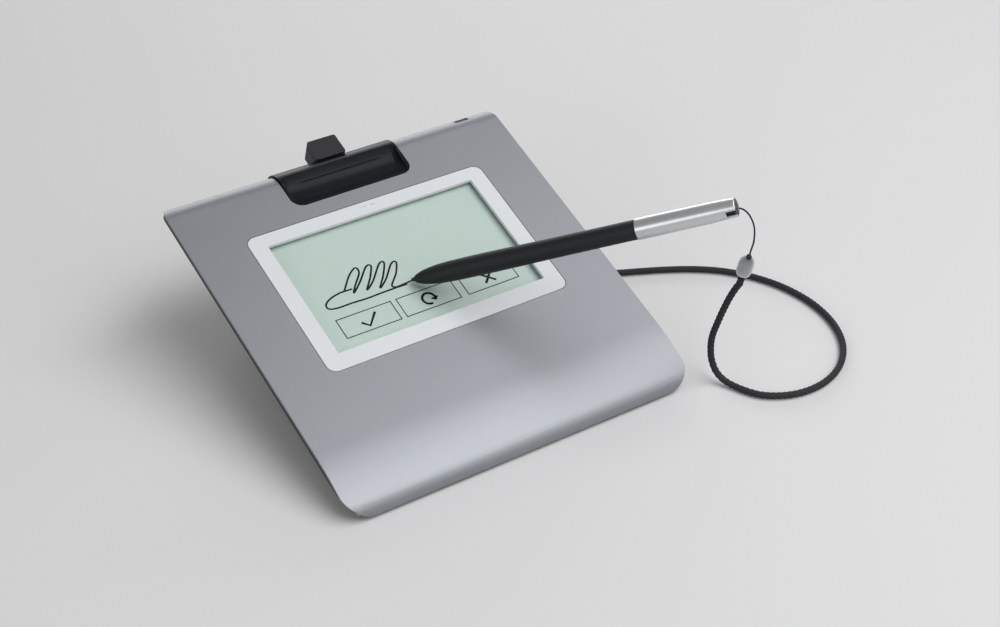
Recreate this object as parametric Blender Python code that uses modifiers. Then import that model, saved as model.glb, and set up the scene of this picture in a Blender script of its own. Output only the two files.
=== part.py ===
"""A signature pad with a tethered pen, one object for each separate piece.

Metres, +Z up. The origin is the middle of the rubber sole under the rear stand, on the table. X runs to
the pad's right and Y to its rear. The pad's pieces stand in a frame tilted like the writing face, whose own
origin is the middle of the rear edge on the plane of the top face. The pen's pieces stand in a frame whose
origin is the tip of the nib and whose Z runs along the pen to its tail.
"""

import math

import bmesh
import bpy
from mathutils import Matrix, Vector

# The pad as a whole
PAD_WIDTH = 0.161
PAD_TILT = math.radians(19.0)
REAR_EDGE_HEIGHT = 0.061
REAR_EDGE_Y = 0.024
GAP = 0.0003
OVERRUN = 0.004
SMALL_OVERRUN = 0.001

# The cover: a plate bent down at the rear and curved down to a lip at the front
COVER_THICKNESS = 0.0012
REAR_BEND_START = 0.00525
REAR_BEND_RADIUS = 0.011
REAR_BEND_ANGLE = math.radians(80.0)
FRONT_BEND_START = 0.1323
FRONT_BEND_RADIUS = 0.105
FRONT_BEND_ANGLE = math.radians(13.0)
LIP_RADIUS = 0.010
LIP_ANGLE = math.radians(58.0)
FRONT_CORNER_RADIUS = 0.0103
# How far the rear corners are drawn in across the cover, over the length of the bend
REAR_CORNER_DRAW = 0.0060
# How much of the lip's end the cover's outline takes off, so that the front corners run into it smoothly
LIP_TRIM = 0.0001
PILLAR_RADIUS = 0.0030
PILLAR_LENGTH = 0.0042
PILLAR_HOLE_DEPTH = 0.0034

# The bottom shell
SHELL_INSET = 0.0006
SHELL_BOTTOM = 0.0102
SHELL_SIDE = 0.0047
SHELL_SIDE_CHAMFER = 0.0055
SHELL_REAR = 0.0026
SHELL_REAR_CHAMFER = 0.0010
SHELL_WALL = 0.0020
SHELL_FLOOR = 0.0018
SHELL_TABLE_CLEARANCE = 0.0016
SHELL_CORNER_RADIUS = 0.0090
SHELL_REAR_CORNER_RADIUS = 0.0035
SHELL_FRONT_INSET = 0.0030
BOSS_RADIUS = 0.0044
RIB_WIDTH = 0.0016
RIB_LENGTH = 0.090
STACK_RIBS = 3

# Screws
SCREW_SHANK_RADIUS = 0.00125
SCREW_HEAD_RADIUS = 0.0024
SCREW_HEAD_HEIGHT = 0.0013
# A pan head's outline: how wide and how high, of its radius and its height
SCREW_HEAD_SHARES = ((0.0, 1.0), (0.6, 1.0), (0.9, 0.75), (1.0, 0.4), (1.0, 0.0))
SCREW_RECESS_ARM = 0.0014
SCREW_RECESS_WIDTH = 0.0005
SCREW_RECESS_DEPTH = 0.0007
CASING_SCREW_INSET = 0.0095
CASING_SCREW_REAR = 0.0140
CASING_SCREW_FRONT = 0.1380
CASING_SCREW_ENGAGEMENT = 0.0028
COUNTERBORE_DEPTH = 0.0022

# The display and its frame
BEZEL_WIDTH = 0.1132
BEZEL_DEPTH = 0.0745
BEZEL_REAR = 0.0268
BEZEL_CORNER_RADIUS = 0.004
BEZEL_FLANGE = 0.0030
BEZEL_FLANGE_THICKNESS = 0.0015
WINDOW_WIDTH = 0.0984
WINDOW_DEPTH = 0.0600
WINDOW_REAR = 0.0334
WINDOW_CORNER_RADIUS = 0.0006
GLASS_MARGIN = 0.0023
GLASS_THICKNESS = 0.0012
STACK_MARGIN = 0.0024
LCD_THICKNESS = 0.0018
SENSOR_MARGIN = 0.0010
SENSOR_THICKNESS = 0.0010
SHIELD_THICKNESS = 0.0005

# The light behind the two slits in the frame
SLIT_LENGTH = 0.0024
SLIT_WIDTH = 0.0006
SLIT_SPACING = 0.0040
SLIT_BEHIND_FRAME_REAR = 0.0025
PIPE_LENGTH = 0.0080
PIPE_WIDTH = 0.0020
PIPE_HEIGHT = 0.0014
LED_LENGTH = 0.0030
LED_WIDTH = 0.0014
LED_HEIGHT = 0.0007
LIGHT_BOARD_LENGTH = 0.0120
LIGHT_BOARD_WIDTH = 0.0046
LIGHT_BOARD_THICKNESS = 0.0008

# The main board in the front of the casing
BOARD_WIDTH = 0.068
BOARD_DEPTH = 0.032
BOARD_THICKNESS = 0.0010
BOARD_REAR = 0.1070
BOARD_POST_HEIGHT = 0.0011
BOARD_POST_RADIUS = 0.0026
BOARD_POST_INSET = 0.0042
BOARD_SCREW_LENGTH = 0.0030
CHIP_SIDE = 0.0120
CHIP_HEIGHT = 0.0011
CONNECTOR_DEPTH = 0.0040
CONNECTOR_HEIGHT = 0.0015
CONNECTOR_INSET = 0.0022
DISPLAY_RIBBON_WIDTH = 0.0200
SENSOR_RIBBON_WIDTH = 0.0080
SENSOR_RIBBON_INSET = 0.0100
RIBBON_THICKNESS = 0.0003
CONNECTOR_SIDE = 0.0010

# The pen tray, the cut-out that it fills and the pen's trough
TRAY_WIDTH = 0.0568
TRAY_FRONT = 0.0186
TRAY_CORNER_RADIUS = 0.005
TRAY_CLEARANCE = 0.0005
TRAY_PROUD = 0.0010
TRAY_SINK = 0.0001
TRAY_BOTTOM = 0.0066
TRAY_RIB_THICKNESS = 0.0020
TROUGH_RADIUS = 0.0114
TROUGH_DEPTH = 0.0031
TROUGH_LENGTH = 0.0546
TROUGH_CENTRE = 0.01018
TROUGH_END_RADIUS = 0.0020

# The block behind the tray: two halves round the inlet's recess
OUTLET_WIDTH = 0.0138
OUTLET_CORNER_RADIUS = 0.0010
OUTLET_FRONT = 0.0021
OUTLET_REAR = 0.0130
OUTLET_HEIGHT = 0.0100
OUTLET_SEAM = 0.0025
RECESS_WIDTH = 0.0094
RECESS_HEIGHT = 0.0062
RECESS_DEPTH = 0.0048
TONGUE_WIDTH = 0.0090
TONGUE_THICKNESS = 0.0012
TONGUE_LENGTH = 0.0060
SOCKET_WIDTH = 0.0075
SOCKET_HEIGHT = 0.0026
SOCKET_LENGTH = 0.0056
SOCKET_WALL = 0.0004
SOCKET_PROUD = 0.0006
POCKET_MARGIN = 0.0012

# The inlet's lead to the main board, on the floor of the shell
LEAD_DIAMETER = 0.0012
LEAD_STEP = 0.0030
LEAD_ROOM = 0.0060
LEAD_AISLE_ROOM = 0.0060
LEAD_TURN = 0.0036
LEAD_BEND = 0.0120
LEAD_END_GAP = 0.00015
# Where the lead rounds the display's rear and front corners, of the way out to the aisle
LEAD_CORNER_SHARES = (0.8, 0.86)
# The lead's way out of the tray's pocket, in the pad's frame
LEAD_DROP = (
    (0.0, 0.0016, -0.00535),
    (-0.0009, -0.0002, -0.0063),
    (-0.0024, -0.0015, -0.0072),
    (-0.0042, -0.0023, -0.0075),
    (-0.0080, -0.0040, -0.0075),
)

# The lock slot in the rear bend and the steel plate behind it
LOCK_INSET = 0.0155
LOCK_WIDTH = 0.0070
LOCK_HEIGHT = 0.0030
LOCK_ANGLE = math.radians(34.0)
LOCK_PLATE_WIDTH = 0.0120
LOCK_PLATE_HEIGHT = 0.0055
LOCK_PLATE_THICKNESS = 0.0012

# The feet under the front
FOOT_LENGTH = 0.0260
FOOT_INSET = 0.0125
FOOT_FRONT = 0.1470
FOOT_DEPTH = 0.0080

# The rear stand
STAND_WIDTH = 0.0800
STAND_FRONT = 0.0460
STAND_REAR = 0.0080
STAND_BASE_DEPTH = 0.0400
STAND_WALL = 0.0030
STAND_EDGE_RADIUS = 0.0040
STAND_BOSS_RADIUS = 0.0042
STAND_BOSS_LENGTH = 0.0120
STAND_WEB_OVERLAP = 0.0013
STAND_SCREW_X = 0.0315
STAND_SCREW_REAR = 0.0212
STAND_SCREW_LENGTH = 0.0080
SOLE_THICKNESS = 0.0020
SOLE_MARGIN = 0.0040

# The tether: a cord from the stand's right wall, a bead, and a thread to the pen
ANCHOR_Y = -0.0080
ANCHOR_HEIGHT = 0.0052
ANCHOR_FLANGE_RADIUS = 0.0030
ANCHOR_FLANGE_THICKNESS = 0.0010
# Where the flange's rounded edge starts, of its radius and its thickness
ANCHOR_EDGE_SHARES = (0.8, 0.6)
ANCHOR_STEM_RADIUS = 0.0019
CORD_DIAMETER = 0.0030
CORD_STEP = 0.0050
CORD_ROUTE = (
    (0.0416, -0.0080, 0.0052),
    (0.0480, -0.0085, 0.0049),
    (0.0580, -0.0130, 0.0030),
    (0.0680, -0.0205, 0.0018),
    (0.0800, -0.0295, 0.0016),
    (0.0907, -0.0361, 0.0016),
    (0.1018, -0.0419, 0.0016),
    (0.1131, -0.0473, 0.0016),
    (0.1243, -0.0530, 0.0016),
    (0.1350, -0.0596, 0.0016),
    (0.1445, -0.0677, 0.0016),
    (0.1521, -0.0777, 0.0016),
    (0.1575, -0.0890, 0.0016),
    (0.1604, -0.1012, 0.0016),
    (0.1607, -0.1137, 0.0016),
    (0.1582, -0.1260, 0.0016),
    (0.1529, -0.1374, 0.0016),
    (0.1448, -0.1469, 0.0016),
    (0.1343, -0.1536, 0.0016),
    (0.1221, -0.1566, 0.0016),
    (0.1098, -0.1550, 0.0016),
    (0.0993, -0.1483, 0.0016),
    (0.0936, -0.1373, 0.0018),
    (0.0911, -0.1306, 0.0042),
    (0.0900, -0.1272, 0.0095),
    (0.0893, -0.1266, 0.0160),
    (0.0886, -0.1278, 0.0230),
    (0.0888, -0.1298, 0.0300),
    (0.0894, -0.1320, 0.0375),
    (0.0905, -0.1343, 0.0450),
    (0.0915, -0.1362, 0.0500),
    (0.0920, -0.1375, 0.0526),
    (0.09235, -0.1380, 0.05565),
)
BEAD_FOOT = (0.0924, -0.1380, 0.0560)
BEAD_HEAD = (0.0938, -0.1397, 0.0663)
BEAD_WIDTH = 0.0064
BEAD_DEPTH = 0.0040
# The way that the bead's flat side faces
BEAD_FACING = (-0.45, -0.69, 0.57)
THREAD_DIAMETER = 0.0007
THREAD_STEP = 0.0018
THREAD_ROUTE = (
    (0.09386, -0.13975, 0.06670),
    (0.0948, -0.1396, 0.0693),
    (0.0959, -0.1393, 0.0721),
    (0.0969, -0.1379, 0.0765),
    (0.0966, -0.1366, 0.0797),
    (0.0955, -0.1354, 0.0825),
    (0.0940, -0.1346, 0.0843),
    (0.0926, -0.1342, 0.0853),
    (0.0917, -0.1339, 0.0856),
)

# The pen, held over the pad with its nib just off the glass
PEN_TIP = (-0.0028, -0.0432, 0.0366)
PEN_AZIMUTH = math.radians(-44.46)
PEN_ELEVATION = math.radians(21.18)
PEN_LENGTH = 0.1395
NIB_RADIUS = 0.00085
NIB_LENGTH = 0.0118
# The nib's rounded tip: how wide and how far back, in radii of the nib
NIB_TIP_SHARES = ((1.0, 1.6), (0.85, 0.7), (0.55, 0.2), (0.0, 0.0))
NIB_TRAVEL = 0.0006
BARREL_START = 0.0020
BARREL_END = 0.0985
BARREL_RADIUS = 0.0044
# How far along the barrel and how wide it is there, of its length and its greatest radius
BARREL_SHARES = (
    (0.0, 0.32),
    (0.006, 0.39),
    (0.018, 0.50),
    (0.036, 0.635),
    (0.060, 0.75),
    (0.095, 0.86),
    (0.14, 0.94),
    (0.20, 0.98),
    (0.30, 1.0),
    (0.45, 0.98),
    (0.62, 0.945),
    (0.80, 0.925),
    (1.0, 0.915),
)
SPIGOT_RADIUS = 0.0032
SPIGOT_LENGTH = 0.0100
BARREL_BORE = 0.0027
BARREL_BORE_START = 0.0110
BARREL_FRONT_BORE = 0.00115
CAP_START_RADIUS = 0.0044
CAP_SHOULDER_RADIUS = 0.0042
CAP_SHOULDER = 0.1290
CAP_END_RADIUS = 0.0038
CAP_BORE = 0.0035
CAP_END_BORE = 0.0030
CAP_EDGE = 0.0004
NOTCH_LENGTH = 0.0036
NOTCH_WIDTH = 0.0020
NOTCH_ANGLE = math.radians(186.0)
PLUG_RADIUS = 0.0027
PLUG_LENGTH = 0.0080
PLUG_SINK = 0.0004
CORE_RADIUS = 0.0012
CORE_LENGTH = 0.0120
COIL_RADIUS = 0.0024
COIL_BORE = 0.0015
COIL_LENGTH = 0.0105
SENSOR_BODY_RADIUS = 0.0024
SENSOR_BODY_LENGTH = 0.0040
PEN_BOARD_WIDTH = 0.0044
PEN_BOARD_THICKNESS = 0.0008
PEN_BOARD_LENGTH = 0.0560

# Smoothness
ARC_STEPS = 8
CORNER_STEPS = 6
ROUND_STEPS = 20
SMALL_ROUND_STEPS = 14
MERGE = 0.000001
SPLINE_SAMPLES = 24

# Heights in the pad's frame that several pieces share, all below the top face
UNDER_COVER = COVER_THICKNESS + GAP
FLANGE_BOTTOM = UNDER_COVER + BEZEL_FLANGE_THICKNESS
GLASS_TOP = FLANGE_BOTTOM - GLASS_THICKNESS
LCD_TOP = FLANGE_BOTTOM + GAP
SENSOR_TOP = LCD_TOP + LCD_THICKNESS + GAP
SHIELD_TOP = SENSOR_TOP + SENSOR_THICKNESS + GAP
RIB_TOP = SHIELD_TOP + SHIELD_THICKNESS + GAP
FLOOR_TOP = SHELL_BOTTOM - SHELL_FLOOR
BOARD_BOTTOM = FLOOR_TOP - BOARD_POST_HEIGHT - GAP
BOARD_TOP = BOARD_BOTTOM - BOARD_THICKNESS

PARTS = None
CUTTERS = None


def start_scene():
    """Empties the scene and makes the two collections."""
    global PARTS, CUTTERS
    for obj in list(bpy.data.objects):
        bpy.data.objects.remove(obj, do_unlink=True)
    PARTS = bpy.data.collections.new("signature_pad")
    CUTTERS = bpy.data.collections.new("cutters")
    bpy.context.scene.collection.children.link(PARTS)
    bpy.context.scene.collection.children.link(CUTTERS)


def material(name, colour, roughness, metallic=0.0):
    """A Principled material, made once for each name."""
    made = bpy.data.materials.get(name)
    if made is None:
        made = bpy.data.materials.new(name)
        made.use_nodes = True
        shader = made.node_tree.nodes["Principled BSDF"]
        shader.inputs["Base Color"].default_value = (*colour, 1.0)
        shader.inputs["Roughness"].default_value = roughness
        shader.inputs["Metallic"].default_value = metallic
    return made


SILVER = ("silver_cover", (0.33, 0.34, 0.37), 0.38, 0.6)
BLACK_PLASTIC = ("black_plastic", (0.02, 0.02, 0.022), 0.5, 0.0)
GLOSS_BLACK = ("gloss_black", (0.012, 0.013, 0.014), 0.15, 0.0)
PALE_FRAME = ("pale_frame", (0.78, 0.80, 0.84), 0.4, 0.0)
GLASS = ("clear_glass", (0.62, 0.72, 0.66), 0.05, 0.0)
LCD_GREEN = ("display_green", (0.50, 0.62, 0.54), 0.4, 0.0)
BOARD_GREEN = ("board_green", (0.02, 0.12, 0.05), 0.5, 0.0)
CHIP_BLACK = ("chip_black", (0.015, 0.015, 0.016), 0.4, 0.0)
STEEL = ("steel", (0.55, 0.55, 0.56), 0.3, 1.0)
WHITE_PLASTIC = ("white_plastic", (0.8, 0.8, 0.78), 0.4, 0.0)
RIBBON_TAN = ("ribbon_tan", (0.55, 0.30, 0.10), 0.4, 0.0)
RUBBER = ("black_rubber", (0.018, 0.018, 0.018), 0.85, 0.0)
BRAID = ("black_braid", (0.012, 0.012, 0.013), 0.8, 0.0)
CLEAR_PLASTIC = ("clear_plastic", (0.45, 0.48, 0.48), 0.25, 0.0)
SOFT_BLACK = ("soft_black", (0.014, 0.014, 0.016), 0.55, 0.0)
CAP_SILVER = ("cap_silver", (0.55, 0.56, 0.58), 0.3, 0.8)
FERRITE = ("ferrite_grey", (0.05, 0.05, 0.055), 0.6, 0.0)
COPPER = ("copper_winding", (0.60, 0.25, 0.12), 0.35, 1.0)


def finish(obj, look, parent=None):
    """Puts an object among the parts with its material and parent."""
    PARTS.objects.link(obj)
    obj.data.materials.clear()
    obj.data.materials.append(material(*look))
    obj.parent = parent
    return obj


def cutter(obj, parent=None):
    """Puts an object among the cutters, out of the render."""
    CUTTERS.objects.link(obj)
    obj.hide_render = True
    obj.display_type = "WIRE"
    obj.parent = parent
    return obj


def boolean(target, tool, operation="DIFFERENCE"):
    """Adds an exact Boolean with a cutter."""
    step = target.modifiers.new(operation.lower(), "BOOLEAN")
    step.operation = operation
    step.solver = "EXACT"
    step.object = tool
    return target


def soften(obj, width, segments=2, angle=40.0):
    """Adds a small bevel on the sharp edges."""
    step = obj.modifiers.new("edge", "BEVEL")
    step.width = width
    step.segments = segments
    step.limit_method = "ANGLE"
    step.angle_limit = math.radians(angle)
    step.harden_normals = False
    return obj


def frame(name, place, turn):
    """An empty that carries pieces."""
    empty = bpy.data.objects.new(name, None)
    PARTS.objects.link(empty)
    empty.matrix_world = Matrix.Translation(Vector(place)) @ turn
    return empty


def cuboid(name, low, high):
    """A box between two corners."""
    bm = bmesh.new()
    bmesh.ops.create_cube(bm, size=1.0)
    low = Vector(low)
    high = Vector(high)
    bmesh.ops.scale(bm, vec=high - low, verts=bm.verts)
    bmesh.ops.translate(bm, vec=(low + high) / 2, verts=bm.verts)
    mesh = bpy.data.meshes.new(name)
    bm.to_mesh(mesh)
    bm.free()
    return bpy.data.objects.new(name, mesh)


def cylinder(name, radius, low, high, steps=ROUND_STEPS, axis="Z", centre=(0.0, 0.0)):
    """A cylinder along Z or X, between two places on that axis, with its centre on the other two."""
    bm = bmesh.new()
    bmesh.ops.create_cone(bm, cap_ends=True, segments=steps, radius1=radius, radius2=radius, depth=high - low)
    middle = (*centre, (low + high) / 2)
    if axis == "X":
        bmesh.ops.rotate(bm, cent=(0, 0, 0), matrix=Matrix.Rotation(math.pi / 2, 3, "Y"), verts=bm.verts)
        middle = ((low + high) / 2, *centre)
    bmesh.ops.translate(bm, vec=middle, verts=bm.verts)
    mesh = bpy.data.meshes.new(name)
    bm.to_mesh(mesh)
    bm.free()
    return bpy.data.objects.new(name, mesh)


def screw_hole(name, low, high, place):
    """A cutter's cylinder for a screw's shank, between two heights."""
    return cylinder(name, SCREW_SHANK_RADIUS + GAP, low, high, SMALL_ROUND_STEPS, "Z", place)


def joined(name, pieces):
    """One object from several that don't touch."""
    bm = bmesh.new()
    for piece in pieces:
        bm.from_mesh(piece.data)
        bpy.data.objects.remove(piece, do_unlink=True)
    mesh = bpy.data.meshes.new(name)
    bm.to_mesh(mesh)
    bm.free()
    return bpy.data.objects.new(name, mesh)


def curve_mesh(name, curve):
    """The welded mesh of a curve, which is then removed."""
    guide = bpy.data.objects.new(name + "_guide", curve)
    bpy.context.scene.collection.objects.link(guide)
    bpy.context.view_layer.update()
    drawn = guide.evaluated_get(bpy.context.evaluated_depsgraph_get())
    mesh = bpy.data.meshes.new_from_object(drawn)
    bpy.data.objects.remove(guide, do_unlink=True)
    bpy.data.curves.remove(curve)
    bm = bmesh.new()
    bm.from_mesh(mesh)
    bmesh.ops.remove_doubles(bm, verts=bm.verts, dist=MERGE)
    bm.to_mesh(mesh)
    bm.free()
    mesh.name = name
    return mesh


def plate(name, outline, low, high, across=False):
    """A flat outline given thickness from low to high. With across, it is in Y and Z and runs along X."""
    curve = bpy.data.curves.new(name, "CURVE")
    curve.dimensions = "2D"
    curve.fill_mode = "BOTH"
    curve.extrude = (high - low) / 2
    spline = curve.splines.new("POLY")
    spline.points.add(len(outline) - 1)
    for point, (u, v) in zip(spline.points, outline):
        point.co = (u, v, 0.0, 1.0)
    spline.use_cyclic_u = True
    mesh = curve_mesh(name, curve)
    place = Matrix.Translation((0.0, 0.0, (low + high) / 2))
    if across:
        place = Matrix(((0, 0, 1, 0), (1, 0, 0, 0), (0, 1, 0, 0), (0, 0, 0, 1))) @ place
    mesh.transform(place)
    return bpy.data.objects.new(name, mesh)


def turned(name, profile, steps=ROUND_STEPS, closed=False, look=None, parent=None):
    """A turned piece. The profile is (radius, height) down the outside, and up the bore if it is closed."""
    mesh = bpy.data.meshes.new(name)
    edges = [(i, i + 1) for i in range(len(profile) - 1)]
    if closed:
        edges.append((len(profile) - 1, 0))
    mesh.from_pydata([(radius, 0.0, height) for radius, height in profile], edges, [])
    obj = bpy.data.objects.new(name, mesh)
    step = obj.modifiers.new("turn", "SCREW")
    step.steps = steps
    step.render_steps = steps
    step.use_merge_vertices = True
    step.merge_threshold = MERGE
    step.use_smooth_shade = True
    if look:
        finish(obj, look, parent)
    return obj


def arc(centre, radius, start, end, steps):
    """Points (y, z) on an arc whose angles are counted from straight up towards +Y."""
    y, z = centre
    angles = [start + (end - start) * i / steps for i in range(steps + 1)]
    return [(y + radius * math.sin(a), z + radius * math.cos(a)) for a in angles]


def cover_profile(offset, rear_angle=REAR_BEND_ANGLE, lip_angle=LIP_ANGLE):
    """The cover's side view from rear to front, moved inwards by an offset."""
    rear = (-REAR_BEND_START, -REAR_BEND_RADIUS)
    front = (-FRONT_BEND_START, -FRONT_BEND_RADIUS)
    reach = FRONT_BEND_RADIUS - LIP_RADIUS
    lip = (front[0] - reach * math.sin(FRONT_BEND_ANGLE), front[1] + reach * math.cos(FRONT_BEND_ANGLE))
    points = arc(rear, REAR_BEND_RADIUS - offset, rear_angle, 0.0, ARC_STEPS)
    points += arc(front, FRONT_BEND_RADIUS - offset, 0.0, -FRONT_BEND_ANGLE, ARC_STEPS)
    points += arc(lip, LIP_RADIUS - offset, -FRONT_BEND_ANGLE, -lip_angle, ARC_STEPS)[1:]
    return points


def rounded(left, right, front, rear, front_radius, rear_radius=None, rear_run=None, steps=CORNER_STEPS):
    """A rectangle's outline with rounded corners. The rear pair can run further along the sides."""
    rear_radius = front_radius if rear_radius is None else rear_radius
    rear_run = rear_radius if rear_run is None else rear_run
    corners = (
        (right - rear_radius, rear - rear_run, rear_radius, rear_run, 0.0),
        (left + rear_radius, rear - rear_run, rear_radius, rear_run, math.pi / 2),
        (left + front_radius, front + front_radius, front_radius, front_radius, math.pi),
        (right - front_radius, front + front_radius, front_radius, front_radius, math.pi * 3 / 2),
    )
    points = []
    for x, y, across, along, start in corners:
        for i in range(steps + 1):
            angle = start + math.pi / 2 * i / steps
            points.append((x + across * math.cos(angle), y + along * math.sin(angle)))
    return points


def smooth_route(route, step):
    """Points about a step apart on a smooth curve through a route."""
    points = [Vector(p) for p in route]
    ends = [points[0] * 2 - points[1]] + points + [points[-1] * 2 - points[-2]]
    dense = []
    for a, b, c, d in zip(ends, ends[1:], ends[2:], ends[3:]):
        for i in range(SPLINE_SAMPLES):
            t = i / SPLINE_SAMPLES
            bend = (a * 2 - b * 5 + c * 4 - d) * t**2
            twist = (b * 3 - a - c * 3 + d) * t**3
            dense.append((b * 2 + (c - a) * t + bend + twist) / 2)
    dense.append(points[-1])
    length = sum((q - p).length for p, q in zip(dense, dense[1:]))
    count = max(round(length / step), 2)
    spaced = [dense[0]]
    run = 0.0
    for p, q in zip(dense, dense[1:]):
        stretch = (q - p).length
        while len(spaced) < count and run + stretch >= length * len(spaced) / count:
            spaced.append(p.lerp(q, (length * len(spaced) / count - run) / stretch))
        run += stretch
    spaced.append(dense[-1])
    return spaced


def tube(name, route, diameter, step, look, parent=None):
    """A round cord along a route."""
    curve = bpy.data.curves.new(name, "CURVE")
    curve.dimensions = "3D"
    curve.bevel_depth = diameter / 2
    curve.bevel_resolution = 2
    curve.use_fill_caps = True
    spline = curve.splines.new("POLY")
    points = smooth_route(route, step)
    spline.points.add(len(points) - 1)
    for point, place in zip(spline.points, points):
        point.co = (*place, 1.0)
    return finish(bpy.data.objects.new(name, curve), look, parent)


def pad_point(y, z):
    """World (y, z) of a place in the pad's frame."""
    rise = y * math.sin(PAD_TILT) + z * math.cos(PAD_TILT)
    return (REAR_EDGE_Y + y * math.cos(PAD_TILT) - z * math.sin(PAD_TILT), REAR_EDGE_HEIGHT + rise)


def front_of_cover():
    return cover_profile(0.0)[-1][0]


def make_screw(name, length, place, turn, parent):
    """A pan-head screw with a cross recess. Its head's seat is at the place and its shank runs down -Z."""
    head = SCREW_HEAD_HEIGHT
    profile = [(SCREW_HEAD_RADIUS * wide, head * high) for wide, high in SCREW_HEAD_SHARES]
    profile += [
        (SCREW_SHANK_RADIUS, 0.0),
        (SCREW_SHANK_RADIUS, -length + SCREW_SHANK_RADIUS / 2),
        (SCREW_SHANK_RADIUS / 2, -length),
        (0.0, -length),
    ]
    screw = turned(name, profile, SMALL_ROUND_STEPS, look=STEEL, parent=parent)
    arm = SCREW_RECESS_ARM
    half = SCREW_RECESS_WIDTH / 2
    quarter = ((arm, -half), (arm, half), (half, half))
    cross = []
    for i in range(4):
        turned_corner = Matrix.Rotation(math.pi / 2 * i, 2)
        cross += [tuple(turned_corner @ Vector(point)) for point in quarter]
    recess = cutter(plate(name + "_recess", cross, head - SCREW_RECESS_DEPTH, head + SMALL_OVERRUN), parent)
    boolean(screw, recess)
    for obj in (screw, recess):
        obj.matrix_local = Matrix.Translation(Vector(place)) @ turn
    return screw


def casing_screw_places():
    reach = PAD_WIDTH / 2 - CASING_SCREW_INSET
    return [(x, -y) for y in (CASING_SCREW_REAR, CASING_SCREW_FRONT) for x in (-reach, reach)]


def stand_screw_places():
    return [(x, -STAND_SCREW_REAR) for x in (-STAND_SCREW_X, STAND_SCREW_X)]


def board_corner_places():
    x = BOARD_WIDTH / 2 - BOARD_POST_INSET
    rear = -BOARD_REAR - BOARD_POST_INSET
    front = -BOARD_REAR - BOARD_DEPTH + BOARD_POST_INSET
    return [(-x, front), (x, front), (-x, rear), (x, rear)]


def window_box(margin):
    """The display opening's outline, grown by a margin."""
    half = WINDOW_WIDTH / 2 + margin
    return -half, half, -WINDOW_REAR - WINDOW_DEPTH - margin, -WINDOW_REAR + margin


def bezel_box(margin):
    """The display frame's outline, grown by a margin."""
    half = BEZEL_WIDTH / 2 + margin
    return -half, half, -BEZEL_REAR - BEZEL_DEPTH - margin, -BEZEL_REAR + margin


def tray_outline(margin):
    """The pen tray's plan, grown by a margin and open past the rear."""
    half = TRAY_WIDTH / 2 + margin
    radius = TRAY_CORNER_RADIUS + margin
    rear = REAR_BEND_RADIUS + OVERRUN
    return rounded(-half, half, -TRAY_FRONT - margin, rear, radius, OVERRUN / 4)


def lock_turn():
    """Places what lies round the lock slot: on the rear bend's axis, with Z out through the slot."""
    axis = (PAD_WIDTH / 2 - LOCK_INSET, -REAR_BEND_START, -REAR_BEND_RADIUS)
    return Matrix.Translation(axis) @ Matrix.Rotation(-LOCK_ANGLE, 4, "X")


def make_cover(pad):
    """The silver cover with its openings and its threaded pillars."""
    section = cover_profile(0.0) + cover_profile(COVER_THICKNESS)[::-1]
    half = PAD_WIDTH / 2
    cover = plate("top_cover", section, -half - OVERRUN, half + OVERRUN, across=True)
    front = front_of_cover() + LIP_TRIM
    rear = REAR_BEND_RADIUS - REAR_BEND_START
    plan = rounded(-half, half, front, rear, FRONT_CORNER_RADIUS, REAR_CORNER_DRAW, REAR_BEND_RADIUS)
    deep = -REAR_BEND_RADIUS - OVERRUN
    trim = cutter(plate("cover_plan", plan, deep, OVERRUN), pad)
    opening_plan = rounded(*bezel_box(GAP), BEZEL_CORNER_RADIUS + GAP)
    opening = cutter(plate("cover_opening", opening_plan, -OVERRUN, OVERRUN), pad)
    bay = cutter(plate("cover_tray_bay", tray_outline(TRAY_CLEARANCE), deep, OVERRUN), pad)
    half_slot = (LOCK_WIDTH / 2, LOCK_HEIGHT / 2)
    slot = cuboid(
        "cover_lock_slot",
        (-half_slot[0], -half_slot[1], REAR_BEND_RADIUS - OVERRUN),
        (half_slot[0], half_slot[1], REAR_BEND_RADIUS + OVERRUN),
    )
    cutter(slot, pad).matrix_local = lock_turn()
    root = COVER_THICKNESS / 2
    pillars = []
    holes = []
    for i, place in enumerate(casing_screw_places()):
        end = -COVER_THICKNESS - PILLAR_LENGTH
        pillars.append(cylinder(f"pillar_{i}", PILLAR_RADIUS, end, -root, SMALL_ROUND_STEPS, "Z", place))
        holes.append(screw_hole(f"pillar_hole_{i}", end - OVERRUN, end + PILLAR_HOLE_DEPTH, place))
    finish(cover, SILVER, pad)
    boolean(cover, trim, "INTERSECT")
    boolean(cover, opening)
    boolean(cover, bay)
    boolean(cover, slot)
    boolean(cover, cutter(joined("cover_pillars", pillars), pad), "UNION")
    boolean(cover, cutter(joined("cover_pillar_holes", holes), pad))
    return cover


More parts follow.
